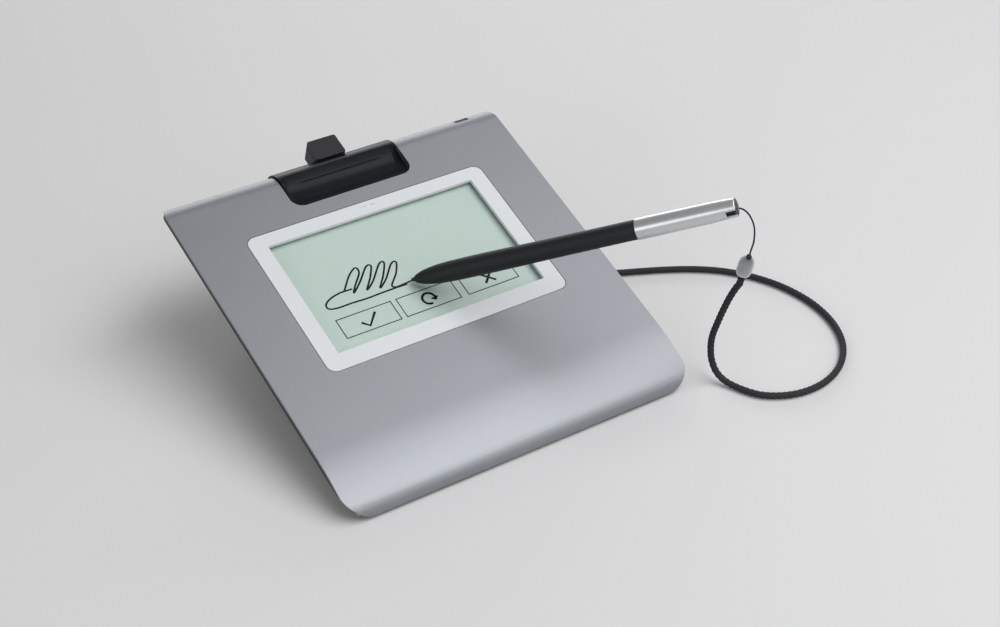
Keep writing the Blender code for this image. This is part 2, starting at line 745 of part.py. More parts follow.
def tapered_block(name, plan, top, side, bottom):
    """A block upright to a side height and drawn in below it, on a plan of half width, ends and radii."""
    half, front, rear, front_radius, rear_radius = plan
    outline = rounded(-half, half, front, rear, front_radius, rear_radius)
    block = plate(name, outline, -side, top)
    bm = bmesh.new()
    bm.from_mesh(block.data)
    low = min(v.co.z for v in bm.verts)
    under = [f for f in bm.faces if all(abs(v.co.z - low) < MERGE for v in f.verts)]
    grown = bmesh.ops.extrude_face_region(bm, geom=under)
    bmesh.ops.delete(bm, geom=under, context="FACES")
    verts = [v for v in grown["geom"] if isinstance(v, bmesh.types.BMVert)]
    bmesh.ops.translate(bm, vec=(0.0, 0.0, side - bottom), verts=verts)
    depth = rear - front
    drawn_in = SHELL_SIDE_CHAMFER + SHELL_REAR_CHAMFER
    share = (depth - drawn_in) / depth
    pivot = (rear * SHELL_SIDE_CHAMFER + front * SHELL_REAR_CHAMFER) / drawn_in
    across = (half - SHELL_SIDE_CHAMFER) / half
    space = Matrix.Translation((0.0, -pivot, 0.0))
    bmesh.ops.scale(bm, vec=(across, share, 1.0), space=space, verts=verts)
    bmesh.ops.recalc_face_normals(bm, faces=bm.faces)
    bm.to_mesh(block.data)
    bm.free()
    return block


def level_cut(name, height):
    """A cutter that takes away all that is lower over the table than a height."""
    size = PAD_WIDTH + OVERRUN
    return cutter(cuboid(name, (-size, -size * 2, -size), (size, size, height)))


def make_shell(pad):
    """The bottom shell with its bosses, ribs and posts."""
    half = PAD_WIDTH / 2 - SHELL_INSET
    front = front_of_cover() + SHELL_FRONT_INSET
    plan = (half, front, SHELL_REAR, SHELL_CORNER_RADIUS, SHELL_REAR_CORNER_RADIUS)
    shell = tapered_block("bottom_shell", plan, OVERRUN, SHELL_SIDE, SHELL_BOTTOM)
    deep = -SHELL_BOTTOM - OVERRUN
    right_angle = math.pi / 2
    inside = cover_profile(UNDER_COVER, right_angle, right_angle)
    section = [(inside[0][0], deep)] + inside + [(inside[-1][0], deep)]
    under = cutter(plate("shell_under_cover", section, -PAD_WIDTH, PAD_WIDTH, across=True), pad)
    wall = SHELL_WALL
    inner_plan = (
        half - wall,
        front + wall * 2,
        SHELL_REAR - wall,
        SHELL_CORNER_RADIUS - wall,
        SHELL_REAR_CORNER_RADIUS - wall,
    )
    hollow = tapered_block("shell_hollow", inner_plan, OVERRUN, SHELL_SIDE - wall / 2, FLOOR_TOP)
    cutter(hollow, pad)
    boolean(hollow, level_cut("hollow_level", SHELL_TABLE_CLEARANCE + SHELL_FLOOR))
    finish(shell, BLACK_PLASTIC, pad)
    boolean(shell, under, "INTERSECT")
    boolean(shell, level_cut("shell_level", SHELL_TABLE_CLEARANCE))
    boolean(shell, hollow)

    root = SHELL_BOTTOM - SHELL_FLOOR / 2
    boss_top = COVER_THICKNESS + PILLAR_LENGTH + GAP
    added = []
    for i, place in enumerate(casing_screw_places()):
        added.append(cylinder(f"boss_{i}", BOSS_RADIUS, -root, -boss_top, ROUND_STEPS, "Z", place))
    post_top = BOARD_BOTTOM + GAP
    for i, place in enumerate(board_corner_places()):
        post = cylinder(f"post_{i}", BOARD_POST_RADIUS, -root, -post_top, SMALL_ROUND_STEPS, "Z", place)
        added.append(post)
    left, right, low, high = window_box(0.0)
    for i in range(STACK_RIBS):
        y = low + (high - low) * (i + 1 / 2) / STACK_RIBS
        corner = (-RIB_LENGTH / 2, y - RIB_WIDTH / 2, -root)
        added.append(cuboid(f"rib_{i}", corner, (RIB_LENGTH / 2, y + RIB_WIDTH / 2, -RIB_TOP)))
    light_y = slit_y()
    light_post_top = light_board_top() + LIGHT_BOARD_THICKNESS + GAP
    reach = LIGHT_BOARD_WIDTH / 2
    corner = (-LIGHT_BOARD_LENGTH / 2, light_y - reach, -root)
    added.append(cuboid("light_post", corner, (LIGHT_BOARD_LENGTH / 2, light_y + reach, -light_post_top)))
    boolean(shell, cutter(joined("shell_bosses", added), pad), "UNION")

    holes = []
    for i, place in enumerate(casing_screw_places()):
        holes.append(screw_hole(f"screw_way_{i}", deep, 0.0, place))
    for i, place in enumerate(stand_screw_places()):
        holes.append(screw_hole(f"stand_way_{i}", deep, -FLOOR_TOP + SMALL_OVERRUN, place))
    for i, place in enumerate(board_corner_places()[:2]):
        low_end = -post_top - BOARD_SCREW_LENGTH + BOARD_THICKNESS
        holes.append(screw_hole(f"board_way_{i}", low_end, -post_top + SMALL_OVERRUN, place))
    boolean(shell, cutter(joined("shell_screw_ways", holes), pad))
    counterbores = []
    for i, place in enumerate(casing_screw_places()):
        top = -SHELL_BOTTOM + COUNTERBORE_DEPTH
        radius = SCREW_HEAD_RADIUS + GAP
        counterbores.append(cylinder(f"counterbore_{i}", radius, deep, top, SMALL_ROUND_STEPS, "Z", place))
    boolean(shell, cutter(joined("shell_counterbores", counterbores), pad))

    # Room for the tray's rear, the inlet's tongue and the lock's plate in the rear wall
    bay_outline = tray_outline(TRAY_CLEARANCE)
    boolean(shell, cutter(plate("shell_tray_bay", bay_outline, -TRAY_BOTTOM - GAP, OVERRUN), pad))
    notch_half = TONGUE_WIDTH / 2 + GAP
    tongue_room = cuboid(
        "shell_tongue_room",
        (-notch_half, -TONGUE_LENGTH, -FLOOR_TOP),
        (notch_half, SHELL_REAR + OVERRUN, 0.0),
    )
    boolean(shell, cutter(tongue_room, pad))
    plate_room = cuboid(
        "shell_lock_room",
        (-LOCK_PLATE_WIDTH / 2 - GAP, -LOCK_PLATE_HEIGHT / 2 - GAP, lock_plate_low() - SMALL_OVERRUN),
        (LOCK_PLATE_WIDTH / 2 + GAP, LOCK_PLATE_HEIGHT / 2 + GAP, REAR_BEND_RADIUS),
    )
    cutter(plate_room, pad).matrix_local = lock_turn()
    boolean(shell, plate_room)
    return shell


def lock_plate_low():
    """The lock plate's inner face, from the bend's axis. Its corners lie just inside the shell's line."""
    inner = REAR_BEND_RADIUS - UNDER_COVER
    return math.sqrt(inner**2 - (LOCK_PLATE_HEIGHT / 2) ** 2) - LOCK_PLATE_THICKNESS


def make_lock_plate(pad):
    """The slotted steel plate behind the lock slot."""
    low = lock_plate_low()
    half = LOCK_PLATE_WIDTH / 2
    tall = LOCK_PLATE_HEIGHT / 2
    steel = cuboid("lock_plate", (-half, -tall, low), (half, tall, low + LOCK_PLATE_THICKNESS))
    finish(steel, STEEL, pad).matrix_local = lock_turn()
    slot = cuboid(
        "lock_plate_slot",
        (-LOCK_WIDTH / 2, -LOCK_HEIGHT / 2, low - SMALL_OVERRUN),
        (LOCK_WIDTH / 2, LOCK_HEIGHT / 2, low + LOCK_PLATE_THICKNESS + SMALL_OVERRUN),
    )
    cutter(slot, pad).matrix_local = lock_turn()
    boolean(steel, slot)


def slit_y():
    return -BEZEL_REAR - SLIT_BEHIND_FRAME_REAR


def light_board_top():
    return FLANGE_BOTTOM + PIPE_HEIGHT + LED_HEIGHT + GAP * 3


def make_bezel(pad):
    """The pale frame, with a flange behind the cover, a pocket for the glass and two light slits."""
    frame_outline = rounded(*bezel_box(0.0), BEZEL_CORNER_RADIUS)
    bezel = plate("display_bezel", frame_outline, -UNDER_COVER - SMALL_OVERRUN, 0.0)
    flange_outline = rounded(*bezel_box(BEZEL_FLANGE), BEZEL_CORNER_RADIUS)
    flange = cutter(plate("bezel_flange", flange_outline, -FLANGE_BOTTOM, -UNDER_COVER), pad)
    window_outline = rounded(*window_box(0.0), WINDOW_CORNER_RADIUS)
    window = cutter(plate("bezel_window", window_outline, -OVERRUN, OVERRUN), pad)
    pocket_outline = rounded(*window_box(GLASS_MARGIN + GAP), WINDOW_CORNER_RADIUS)
    pocket = cutter(plate("bezel_pocket", pocket_outline, -FLANGE_BOTTOM - OVERRUN, -GLASS_TOP + GAP), pad)
    slits = []
    for side in (-1, 1):
        x = side * SLIT_SPACING / 2
        low = (x - SLIT_LENGTH / 2, slit_y() - SLIT_WIDTH / 2, -FLANGE_BOTTOM - SMALL_OVERRUN)
        high = (x + SLIT_LENGTH / 2, slit_y() + SLIT_WIDTH / 2, SMALL_OVERRUN)
        slits.append(cuboid(f"slit_{side}", low, high))
    finish(bezel, PALE_FRAME, pad)
    boolean(bezel, flange, "UNION")
    boolean(bezel, window)
    boolean(bezel, pocket)
    boolean(bezel, cutter(joined("bezel_slits", slits), pad))
    return bezel


def make_display_stack(pad):
    """The glass, the display, the sensor board and the shield, one under the other."""
    glass = rounded(*window_box(GLASS_MARGIN), WINDOW_CORNER_RADIUS, steps=2)
    finish(plate("cover_glass", glass, -GLASS_TOP - GLASS_THICKNESS, -GLASS_TOP), GLASS, pad)
    left, right, front, rear = window_box(STACK_MARGIN)
    lcd = cuboid("lcd_panel", (left, front, -LCD_TOP - LCD_THICKNESS), (right, rear, -LCD_TOP))
    finish(lcd, LCD_GREEN, pad)
    left, right, front, rear = window_box(STACK_MARGIN - SENSOR_MARGIN)
    sensor = cuboid("sensor_board", (left, front, -SENSOR_TOP - SENSOR_THICKNESS), (right, rear, -SENSOR_TOP))
    finish(sensor, BOARD_GREEN, pad)
    shield = cuboid("shield_plate", (left, front, -SHIELD_TOP - SHIELD_THICKNESS), (right, rear, -SHIELD_TOP))
    finish(shield, STEEL, pad)


def make_light(pad):
    """The light pipe under the slits, the lamp under it and their small board."""
    y = slit_y()
    pipe_top = FLANGE_BOTTOM + GAP
    led_top = pipe_top + PIPE_HEIGHT + GAP
    board_top = light_board_top()
    parts = (
        ("light_pipe", PIPE_LENGTH, PIPE_WIDTH, pipe_top, PIPE_HEIGHT, CLEAR_PLASTIC),
        ("status_light", LED_LENGTH, LED_WIDTH, led_top, LED_HEIGHT, WHITE_PLASTIC),
        ("light_board", LIGHT_BOARD_LENGTH, LIGHT_BOARD_WIDTH, board_top, LIGHT_BOARD_THICKNESS, BOARD_GREEN),
    )
    for name, length, width, top, height, look in parts:
        shift = LIGHT_BOARD_WIDTH / 2 - width / 2 if name == "light_board" else 0.0
        low = (-length / 2, y - width / 2 + shift, -top - height)
        finish(cuboid(name, low, (length / 2, y + width / 2 + shift, -top)), look, pad)


def make_main_board(pad):
    """The main board with its chip, its connectors and the ribbons to the display and the sensor."""
    half = BOARD_WIDTH / 2
    corner = (-half, -BOARD_REAR - BOARD_DEPTH, -BOARD_BOTTOM)
    board = cuboid("main_board", corner, (half, -BOARD_REAR, -BOARD_TOP))
    finish(board, BOARD_GREEN, pad)
    holes = [
        screw_hole(f"board_hole_{i}", -BOARD_BOTTOM - OVERRUN, 0.0, place)
        for i, place in enumerate(board_corner_places()[:2])
    ]
    boolean(board, cutter(joined("board_holes", holes), pad))
    for i, (x, y) in enumerate(board_corner_places()[:2]):
        place = (x, y, -BOARD_TOP + GAP)
        make_screw(f"board_screw_{i + 1}", BOARD_SCREW_LENGTH, place, Matrix.Identity(4), pad)
    seat = BOARD_TOP - GAP
    middle = -BOARD_REAR - BOARD_DEPTH / 2
    low = (-CHIP_SIDE / 2, middle - CHIP_SIDE / 2, -seat)
    high = (CHIP_SIDE / 2, middle + CHIP_SIDE / 2, -seat + CHIP_HEIGHT)
    finish(cuboid("controller_chip", low, high), CHIP_BLACK, pad)
    rear = -BOARD_REAR - CONNECTOR_INSET
    connector_front = rear - CONNECTOR_DEPTH
    display_front = window_box(STACK_MARGIN)[2]
    display_depth = LCD_TOP + LCD_THICKNESS / 2
    sensor_front = window_box(STACK_MARGIN - SENSOR_MARGIN)[2]
    sensor_depth = SENSOR_TOP + SENSOR_THICKNESS / 2
    ribbons = (
        ("display", 0.0, DISPLAY_RIBBON_WIDTH, display_front, display_depth),
        ("sensor", half - SENSOR_RIBBON_INSET, SENSOR_RIBBON_WIDTH, sensor_front, sensor_depth),
    )
    for name, x, width, start, start_depth in ribbons:
        reach = width / 2 + CONNECTOR_SIDE
        top = seat - CONNECTOR_HEIGHT
        socket = cuboid(f"{name}_connector", (x - reach, connector_front, -seat), (x + reach, rear, -top))
        finish(socket, WHITE_PLASTIC, pad)
        end_depth = (seat + top) / 2
        end = rear + GAP
        start = start - GAP
        third = (start - end) / 3
        upper = [
            (start, -start_depth),
            (start - third, -start_depth),
            (end + third, -end_depth),
            (end, -end_depth),
        ]
        lower = [(y, z - RIBBON_THICKNESS) for y, z in upper]
        ribbon = plate(f"{name}_ribbon", upper + lower[::-1], x - width / 2, x + width / 2, across=True)
        finish(ribbon, RIBBON_TAN, pad)


def make_tray(pad):
    """The gloss tray: a block under the rear bend's line with a trough and a raised rear lip."""
    half = TRAY_WIDTH / 2
    rear_arc = arc(
        (-REAR_BEND_START, -REAR_BEND_RADIUS), REAR_BEND_RADIUS + TRAY_PROUD, 0.0, REAR_BEND_ANGLE, ARC_STEPS
    )
    rear_arc = [point for point in rear_arc if point[1] > -TRAY_BOTTOM]
    rib_low = -FLOOR_TOP + GAP
    rib_y = rear_arc[-1][0]
    inner_y = rib_y - TRAY_RIB_THICKNESS
    section = [(-TRAY_FRONT, -TRAY_SINK), (-TROUGH_CENTRE, -TRAY_SINK)] + rear_arc
    section += [(rib_y, rib_low), (inner_y, rib_low), (inner_y, -TRAY_BOTTOM), (-TRAY_FRONT, -TRAY_BOTTOM)]
    tray = plate("pen_tray", section, -half - OVERRUN, half + OVERRUN, across=True)
    outline = cutter(plate("tray_outline", tray_outline(0.0), -SHELL_BOTTOM, OVERRUN), pad)
    centre = (-TROUGH_CENTRE, TROUGH_RADIUS - TROUGH_DEPTH)
    half_trough = TROUGH_LENGTH / 2
    trough = cylinder("tray_trough", TROUGH_RADIUS, -half_trough, half_trough, ROUND_STEPS * 2, "X", centre)
    soften(cutter(trough, pad), TROUGH_END_RADIUS, 4)
    finish(tray, GLOSS_BLACK, pad)
    boolean(tray, outline, "INTERSECT")
    boolean(tray, trough)
    pocket_half = SOCKET_WIDTH / 2 + POCKET_MARGIN
    socket_front, socket_rear = socket_span()
    pocket = cuboid(
        "tray_socket_pocket",
        (-pocket_half, socket_front - LEAD_ROOM, -SHELL_BOTTOM),
        (pocket_half, REAR_BEND_RADIUS, -socket_top() + GAP),
    )
    boolean(tray, cutter(pocket, pad))
    return tray


def tongue_top():
    return FLOOR_TOP - GAP - TONGUE_THICKNESS


def socket_top():
    return tongue_top() - GAP - SOCKET_HEIGHT


def socket_span():
    rear = OUTLET_REAR - RECESS_DEPTH + SOCKET_PROUD
    return rear - SOCKET_LENGTH, rear


def make_outlet(pad):
    """The block behind the tray: a lower half with the recess and a tongue, a lid, and the socket between."""
    half = OUTLET_WIDTH / 2
    gap = TRAY_PROUD + GAP
    right_angle = math.pi / 2
    bend = arc((-REAR_BEND_START, -REAR_BEND_RADIUS), REAR_BEND_RADIUS + gap, 0.0, right_angle, ARC_STEPS * 2)
    deep = -REAR_BEND_RADIUS - OVERRUN
    section = [(-PAD_WIDTH, bend[0][1])] + bend + [(bend[-1][0], deep), (-PAD_WIDTH, deep)]
    bend_room = plate("outlet_bend_room", section, -PAD_WIDTH, PAD_WIDTH, across=True)
    cutter(bend_room, pad)
    plan = rounded(-half, half, OUTLET_FRONT, OUTLET_REAR, OUTLET_CORNER_RADIUS)
    lid = plate("outlet_upper", plan, -OUTLET_SEAM + GAP, 0.0)
    finish(lid, BLACK_PLASTIC, pad)
    boolean(lid, bend_room)
    body = plate("outlet_lower", plan, -OUTLET_HEIGHT, -OUTLET_SEAM)
    finish(body, BLACK_PLASTIC, pad)
    boolean(body, bend_room)
    recess_front = OUTLET_REAR - RECESS_DEPTH
    recess = cuboid(
        "outlet_recess",
        (-RECESS_WIDTH / 2, recess_front, -OUTLET_SEAM - RECESS_HEIGHT),
        (RECESS_WIDTH / 2, OUTLET_REAR + OVERRUN, -OUTLET_SEAM + OVERRUN),
    )
    boolean(body, cutter(recess, pad))
    socket_half = SOCKET_WIDTH / 2
    socket_front, socket_rear = socket_span()
    socket_way = cuboid(
        "outlet_socket_way",
        (-socket_half - GAP, 0.0, -tongue_top() + GAP / 2),
        (socket_half + GAP, recess_front + SMALL_OVERRUN, -socket_top() + GAP),
    )
    boolean(body, cutter(socket_way, pad))
    tongue = cuboid(
        "outlet_tongue",
        (-TONGUE_WIDTH / 2, recess_front - TONGUE_LENGTH, -FLOOR_TOP + GAP),
        (TONGUE_WIDTH / 2, recess_front - SMALL_OVERRUN / 2, -tongue_top()),
    )
    boolean(body, cutter(tongue, pad), "UNION")
    socket = cuboid(
        "inlet_socket",
        (-socket_half, socket_front, -tongue_top() + GAP),
        (socket_half, socket_rear, -socket_top()),
    )
    finish(socket, STEEL, pad)
    wall = SOCKET_WALL
    mouth = cuboid(
        "socket_mouth",
        (-socket_half + wall, socket_front + wall * 3, -tongue_top() + GAP + wall),
        (socket_half - wall, socket_rear + SMALL_OVERRUN, -socket_top() - wall),
    )
    blade = cuboid(
        "socket_blade",
        (-socket_half / 2, socket_front + wall, (-tongue_top() + GAP - socket_top()) / 2 - wall / 2),
        (socket_half / 2, socket_rear - SMALL_OVERRUN, (-tongue_top() + GAP - socket_top()) / 2 + wall / 2),
    )
    boolean(socket, cutter(mouth, pad))
    boolean(socket, cutter(blade, pad), "UNION")


def make_lead(pad):
    """The lead from the socket round the display to the left end of the main board."""
    socket_front = socket_span()[0]
    lie = -FLOOR_TOP + LEAD_DIAMETER / 2 + GAP
    start = -tongue_top() + GAP + SOCKET_HEIGHT / 2
    aisle = -(WINDOW_WIDTH / 2 + STACK_MARGIN + LEAD_AISLE_ROOM)
    board_end = -BOARD_WIDTH / 2 - GAP - LEAD_END_GAP
    board_y = -BOARD_REAR - BOARD_DEPTH / 2
    board_z = -(BOARD_TOP + BOARD_BOTTOM) / 2
    behind = -TRAY_FRONT - LEAD_TURN
    rear_share, front_share = LEAD_CORNER_SHARES
    route = (
        (0.0, socket_front - GAP, start),
        *LEAD_DROP,
        (-TRAY_WIDTH / 2, behind / 2, lie),
        (aisle * rear_share, behind + LEAD_TURN / 2, lie),
        (aisle, behind - LEAD_BEND, lie),
        (aisle, -BEZEL_REAR * 2, lie),
        (aisle, -BEZEL_REAR - BEZEL_DEPTH, lie),
        (aisle * front_share, board_y + LEAD_TURN, lie),
        (board_end - LEAD_TURN, board_y, (lie + board_z) / 2),
        (board_end, board_y, board_z),
    )
    tube("inlet_lead", route, LEAD_DIAMETER, LEAD_STEP, BLACK_PLASTIC, pad)


def make_feet():
    """Two rubber feet under the front, cut level with the table."""
    seat = -SHELL_BOTTOM - GAP
    top_front = pad_point(-FOOT_FRONT, seat)
    top_rear = pad_point(-FOOT_FRONT + FOOT_DEPTH, seat)
    section = [top_rear, top_front, (top_front[0], 0.0), (top_rear[0], 0.0)]
    outer = PAD_WIDTH / 2 - FOOT_INSET
    for name, low in (("front_foot_left", -outer), ("front_foot_right", outer - FOOT_LENGTH)):
        finish(plate(name, section, low, low + FOOT_LENGTH, across=True), RUBBER)


def make_stand(pad):
    """The prop under the rear, its sole and its screws."""
    seat = -SHELL_BOTTOM - GAP
    rear_top = pad_point(-STAND_REAR, seat)
    front_top = pad_point(-STAND_FRONT, seat)
    foot = SOLE_THICKNESS + GAP
    base = STAND_BASE_DEPTH / 2
    half = STAND_WIDTH / 2
    section = [rear_top, front_top, (-base, foot), (base, foot)]
    stand = plate("rear_stand", section, -half - OVERRUN, half + OVERRUN, across=True)
    plan = rounded(-half, half, -base - OVERRUN / 4, base + OVERRUN / 4, STAND_EDGE_RADIUS)
    finish(stand, BLACK_PLASTIC)
    trim = cutter(plate("stand_plan", plan, -OVERRUN, REAR_EDGE_HEIGHT))
    boolean(stand, trim, "INTERSECT")
    wall = STAND_WALL
    inner = [
        (rear_top[0] - wall, rear_top[1] + OVERRUN),
        (front_top[0] + wall, front_top[1] + OVERRUN),
        (-base + wall, foot + wall),
        (base - wall, foot + wall),
    ]
    boolean(stand, cutter(plate("stand_hollow", inner, -half + wall, half - wall, across=True)))
    bosses = []
    holes = []
    boss_end = seat - STAND_BOSS_LENGTH
    for i, place in enumerate(stand_screw_places()):
        name = f"stand_boss_{i}"
        bosses.append(cylinder(name, STAND_BOSS_RADIUS, boss_end, seat - GAP, SMALL_ROUND_STEPS, "Z", place))
        holes.append(screw_hole(f"stand_hole_{i}", seat - STAND_SCREW_LENGTH, seat + OVERRUN, place))
    webs = []
    for side in (-1, 1):
        x = side * (STAND_SCREW_X + STAND_BOSS_RADIUS - STAND_WEB_OVERLAP)
        outer = side * (half - wall / 2)
        y = -STAND_SCREW_REAR
        low = (min(x, outer), y - wall / 2, boss_end + SMALL_OVERRUN)
        high = (max(x, outer), y + wall / 2, seat - SMALL_OVERRUN)
        webs.append(cuboid(f"stand_web_{side}", low, high))
    boolean(stand, cutter(joined("stand_webs", webs), pad), "UNION")
    boolean(stand, cutter(joined("stand_bosses", bosses), pad), "UNION")
    boolean(stand, cutter(joined("stand_holes", holes), pad))
    stem = ANCHOR_STEM_RADIUS + GAP
    place = (ANCHOR_Y, ANCHOR_HEIGHT)
    way = cylinder("anchor_way", stem, half - wall * 2, half + OVERRUN, SMALL_ROUND_STEPS, "X", place)
    boolean(stand, cutter(way))
    for i, (x, y) in enumerate(stand_screw_places()):
        place = (x, y, -FLOOR_TOP + GAP)
        make_screw(f"stand_screw_{i + 1}", STAND_SCREW_LENGTH, place, Matrix.Identity(4), pad)
    reach = half - SOLE_MARGIN
    deep = base - SOLE_MARGIN
    sole = plate("stand_sole", rounded(-reach, reach, -deep, deep, STAND_EDGE_RADIUS), 0.0, SOLE_THICKNESS)
    finish(sole, RUBBER)


def make_anchor():
    """The flanged plug in the stand's right wall where the tether starts."""
    wall_face = STAND_WIDTH / 2
    out = ANCHOR_FLANGE_THICKNESS
    wide, high = ANCHOR_EDGE_SHARES
    profile = (
        (0.0, GAP + out),
        (ANCHOR_FLANGE_RADIUS * wide, GAP + out),
        (ANCHOR_FLANGE_RADIUS, GAP + out * high),
        (ANCHOR_FLANGE_RADIUS, GAP),
        (ANCHOR_STEM_RADIUS, GAP),
        (ANCHOR_STEM_RADIUS, -STAND_WALL),
        (0.0, -STAND_WALL),
    )
    anchor = turned("tether_anchor", profile, SMALL_ROUND_STEPS, look=BLACK_PLASTIC)
    place = Matrix.Translation((wall_face, ANCHOR_Y, ANCHOR_HEIGHT))
    anchor.matrix_world = place @ Matrix.Rotation(math.pi / 2, 4, "Y")


def make_casing_screws(pad):
    """Four screws up through the shell into the cover's pillars."""
    turn = Matrix.Rotation(math.pi, 4, "X")
    seat = -SHELL_BOTTOM + COUNTERBORE_DEPTH - GAP
    pillar_end = -COVER_THICKNESS - PILLAR_LENGTH
    length = pillar_end + CASING_SCREW_ENGAGEMENT - seat
    for i, (x, y) in enumerate(casing_screw_places()):
        make_screw(f"casing_screw_{i + 1}", length, (x, y, seat), turn, pad)


def make_tether():
    """The cord, the bead at its end and the thread to the pen."""
    tube("tether_cord", CORD_ROUTE, CORD_DIAMETER, CORD_STEP, BRAID)
    tube("tether_thread", THREAD_ROUTE, THREAD_DIAMETER, THREAD_STEP, BRAID)
    foot = Vector(BEAD_FOOT)
    head = Vector(BEAD_HEAD)
    length = (head - foot).length
    outline = rounded(-BEAD_WIDTH / 2, BEAD_WIDTH / 2, -length / 2, length / 2, BEAD_WIDTH / 2 - GAP)
    bead = plate("tether_bead", outline, -BEAD_DEPTH / 2, BEAD_DEPTH / 2)
    along = (head - foot).normalized()
    across = along.cross(Vector(BEAD_FACING)).normalized()
    face = across.cross(along)
    turn = Matrix((across, along, face)).transposed().to_4x4()
    finish(bead, CLEAR_PLASTIC).matrix_world = Matrix.Translation((foot + head) / 2) @ turn
    soften(bead, BEAD_DEPTH / 4, 2)


def pen_frame():
    """The pen's frame: Z along the pen to its tail, Y as near straight up as that allows."""
    flat = math.cos(PEN_ELEVATION)
    along = Vector((flat * math.cos(PEN_AZIMUTH), flat * math.sin(PEN_AZIMUTH), math.sin(PEN_ELEVATION)))
    side = Vector((0.0, 0.0, 1.0)).cross(along).normalized()
    up = along.cross(side)
    turn = Matrix((side, up, along)).transposed().to_4x4()
    return frame("pen_frame", PEN_TIP, turn)


def make_pen():
    """The pen's pieces, from the nib to the tail."""
    pen = pen_frame()
    nib = [(0.0, NIB_LENGTH), (NIB_RADIUS, NIB_LENGTH)]
    nib += [(NIB_RADIUS * wide, NIB_RADIUS * back) for wide, back in NIB_TIP_SHARES]
    turned("pen_nib", nib, SMALL_ROUND_STEPS, look=CHIP_BLACK, parent=pen)
    core_start = NIB_LENGTH + GAP
    core_end = core_start + CORE_LENGTH
    rod(pen, "pen_core", CORE_RADIUS, core_start, core_end, FERRITE)
    coil_start = BARREL_BORE_START + GAP
    ring(pen, "pen_coil", COIL_RADIUS, COIL_BORE, coil_start, coil_start + COIL_LENGTH, COPPER)
    sensor_start = core_end + NIB_TRAVEL + GAP
    sensor_end = sensor_start + SENSOR_BODY_LENGTH
    rod(pen, "pressure_sensor", SENSOR_BODY_RADIUS, sensor_start, sensor_end, CHIP_BLACK)
    board_start = sensor_end + GAP
    low = (-PEN_BOARD_WIDTH / 2, -PEN_BOARD_THICKNESS / 2, board_start)
    high = (PEN_BOARD_WIDTH / 2, PEN_BOARD_THICKNESS / 2, board_start + PEN_BOARD_LENGTH)
    finish(cuboid("pen_board", low, high), BOARD_GREEN, pen)
    make_barrel(pen)
    make_cap(pen)


def rod(parent, name, radius, low, high, look):
    """A plain turned rod."""
    profile = ((0.0, high), (radius, high), (radius, low), (0.0, low))
    turned(name, profile, SMALL_ROUND_STEPS, look=look, parent=parent)


def ring(parent, name, radius, bore, low, high, look):
    """A plain turned sleeve."""
    profile = ((bore, high), (radius, high), (radius, low), (bore, low))
    turned(name, profile, SMALL_ROUND_STEPS, closed=True, look=look, parent=parent)


def make_barrel(pen):
    """The soft barrel, swelling from the nib and stepped down at its rear to fit the cap."""
    length = BARREL_END - BARREL_START
    outer = [(BARREL_RADIUS * wide, BARREL_START + length * along) for along, wide in BARREL_SHARES]
    spigot_end = BARREL_END + SPIGOT_LENGTH
    profile = [(BARREL_BORE, spigot_end), (SPIGOT_RADIUS, spigot_end), (SPIGOT_RADIUS, BARREL_END)]
    profile += outer[::-1]
    profile += [
        (BARREL_FRONT_BORE, BARREL_START),
        (BARREL_FRONT_BORE, BARREL_BORE_START),
        (BARREL_BORE, BARREL_BORE_START),
    ]
    turned("pen_barrel", profile, ROUND_STEPS, closed=True, look=SOFT_BLACK, parent=pen)


def make_cap(pen):
    """The silver cap with its notch, and the plug in its end."""
    start = BARREL_END + GAP
    end = PEN_LENGTH
    step = end - PLUG_LENGTH * 3 / 2
    profile = (
        (CAP_END_BORE, end),
        (CAP_END_RADIUS - CAP_EDGE, end),
        (CAP_END_RADIUS, end - CAP_EDGE),
        (CAP_SHOULDER_RADIUS, CAP_SHOULDER),
        (CAP_START_RADIUS, start + CAP_EDGE / 2),
        (CAP_START_RADIUS - CAP_EDGE / 2, start),
        (CAP_BORE, start),
        (CAP_BORE, step - CAP_EDGE),
        (CAP_END_BORE, step),
    )
    cap = turned("pen_cap", profile, ROUND_STEPS, closed=True, look=CAP_SILVER, parent=pen)
    notch = cuboid(
        "cap_notch",
        (CAP_END_BORE / 2, -NOTCH_WIDTH / 2, end - NOTCH_LENGTH),
        (CAP_START_RADIUS + SMALL_OVERRUN, NOTCH_WIDTH / 2, end + SMALL_OVERRUN),
    )
    cutter(notch, pen).matrix_local = Matrix.Rotation(NOTCH_ANGLE, 4, "Z")
    boolean(cap, notch)
    rod(pen, "pen_tail_plug", PLUG_RADIUS, end - PLUG_SINK - PLUG_LENGTH, end - PLUG_SINK, BLACK_PLASTIC)


def main():
    start_scene()
    pad = frame("pad_frame", (0.0, REAR_EDGE_Y, REAR_EDGE_HEIGHT), Matrix.Rotation(PAD_TILT, 4, "X"))
    make_cover(pad)
    make_shell(pad)
    make_lock_plate(pad)
    make_bezel(pad)
    make_display_stack(pad)
    make_light(pad)
    make_main_board(pad)
    make_tray(pad)
    make_outlet(pad)
    make_lead(pad)
    make_casing_screws(pad)
    make_feet()
    make_stand(pad)
    make_anchor()
    make_tether()
    make_pen()
    bpy.context.view_layer.update()


main()
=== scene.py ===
"""A signature pad with a tethered pen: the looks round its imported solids, laid out as a Blender add-on.

Metres, +Z up, in the frame of the solids: the origin is the middle of the stand's sole on the table, X runs
to the pad's right and Y to its rear. Most pieces are modelled in the pad's own frame, which lies like the
writing face with its origin in the middle of the cover's rear edge, or in the pen's, whose Z runs from the
nib to the tail.
"""

import math

import bmesh
import bpy
from bpy.props import FloatProperty, FloatVectorProperty, IntProperty, PointerProperty
from bpy.types import Operator, Panel, PropertyGroup
from mathutils import Matrix, Vector


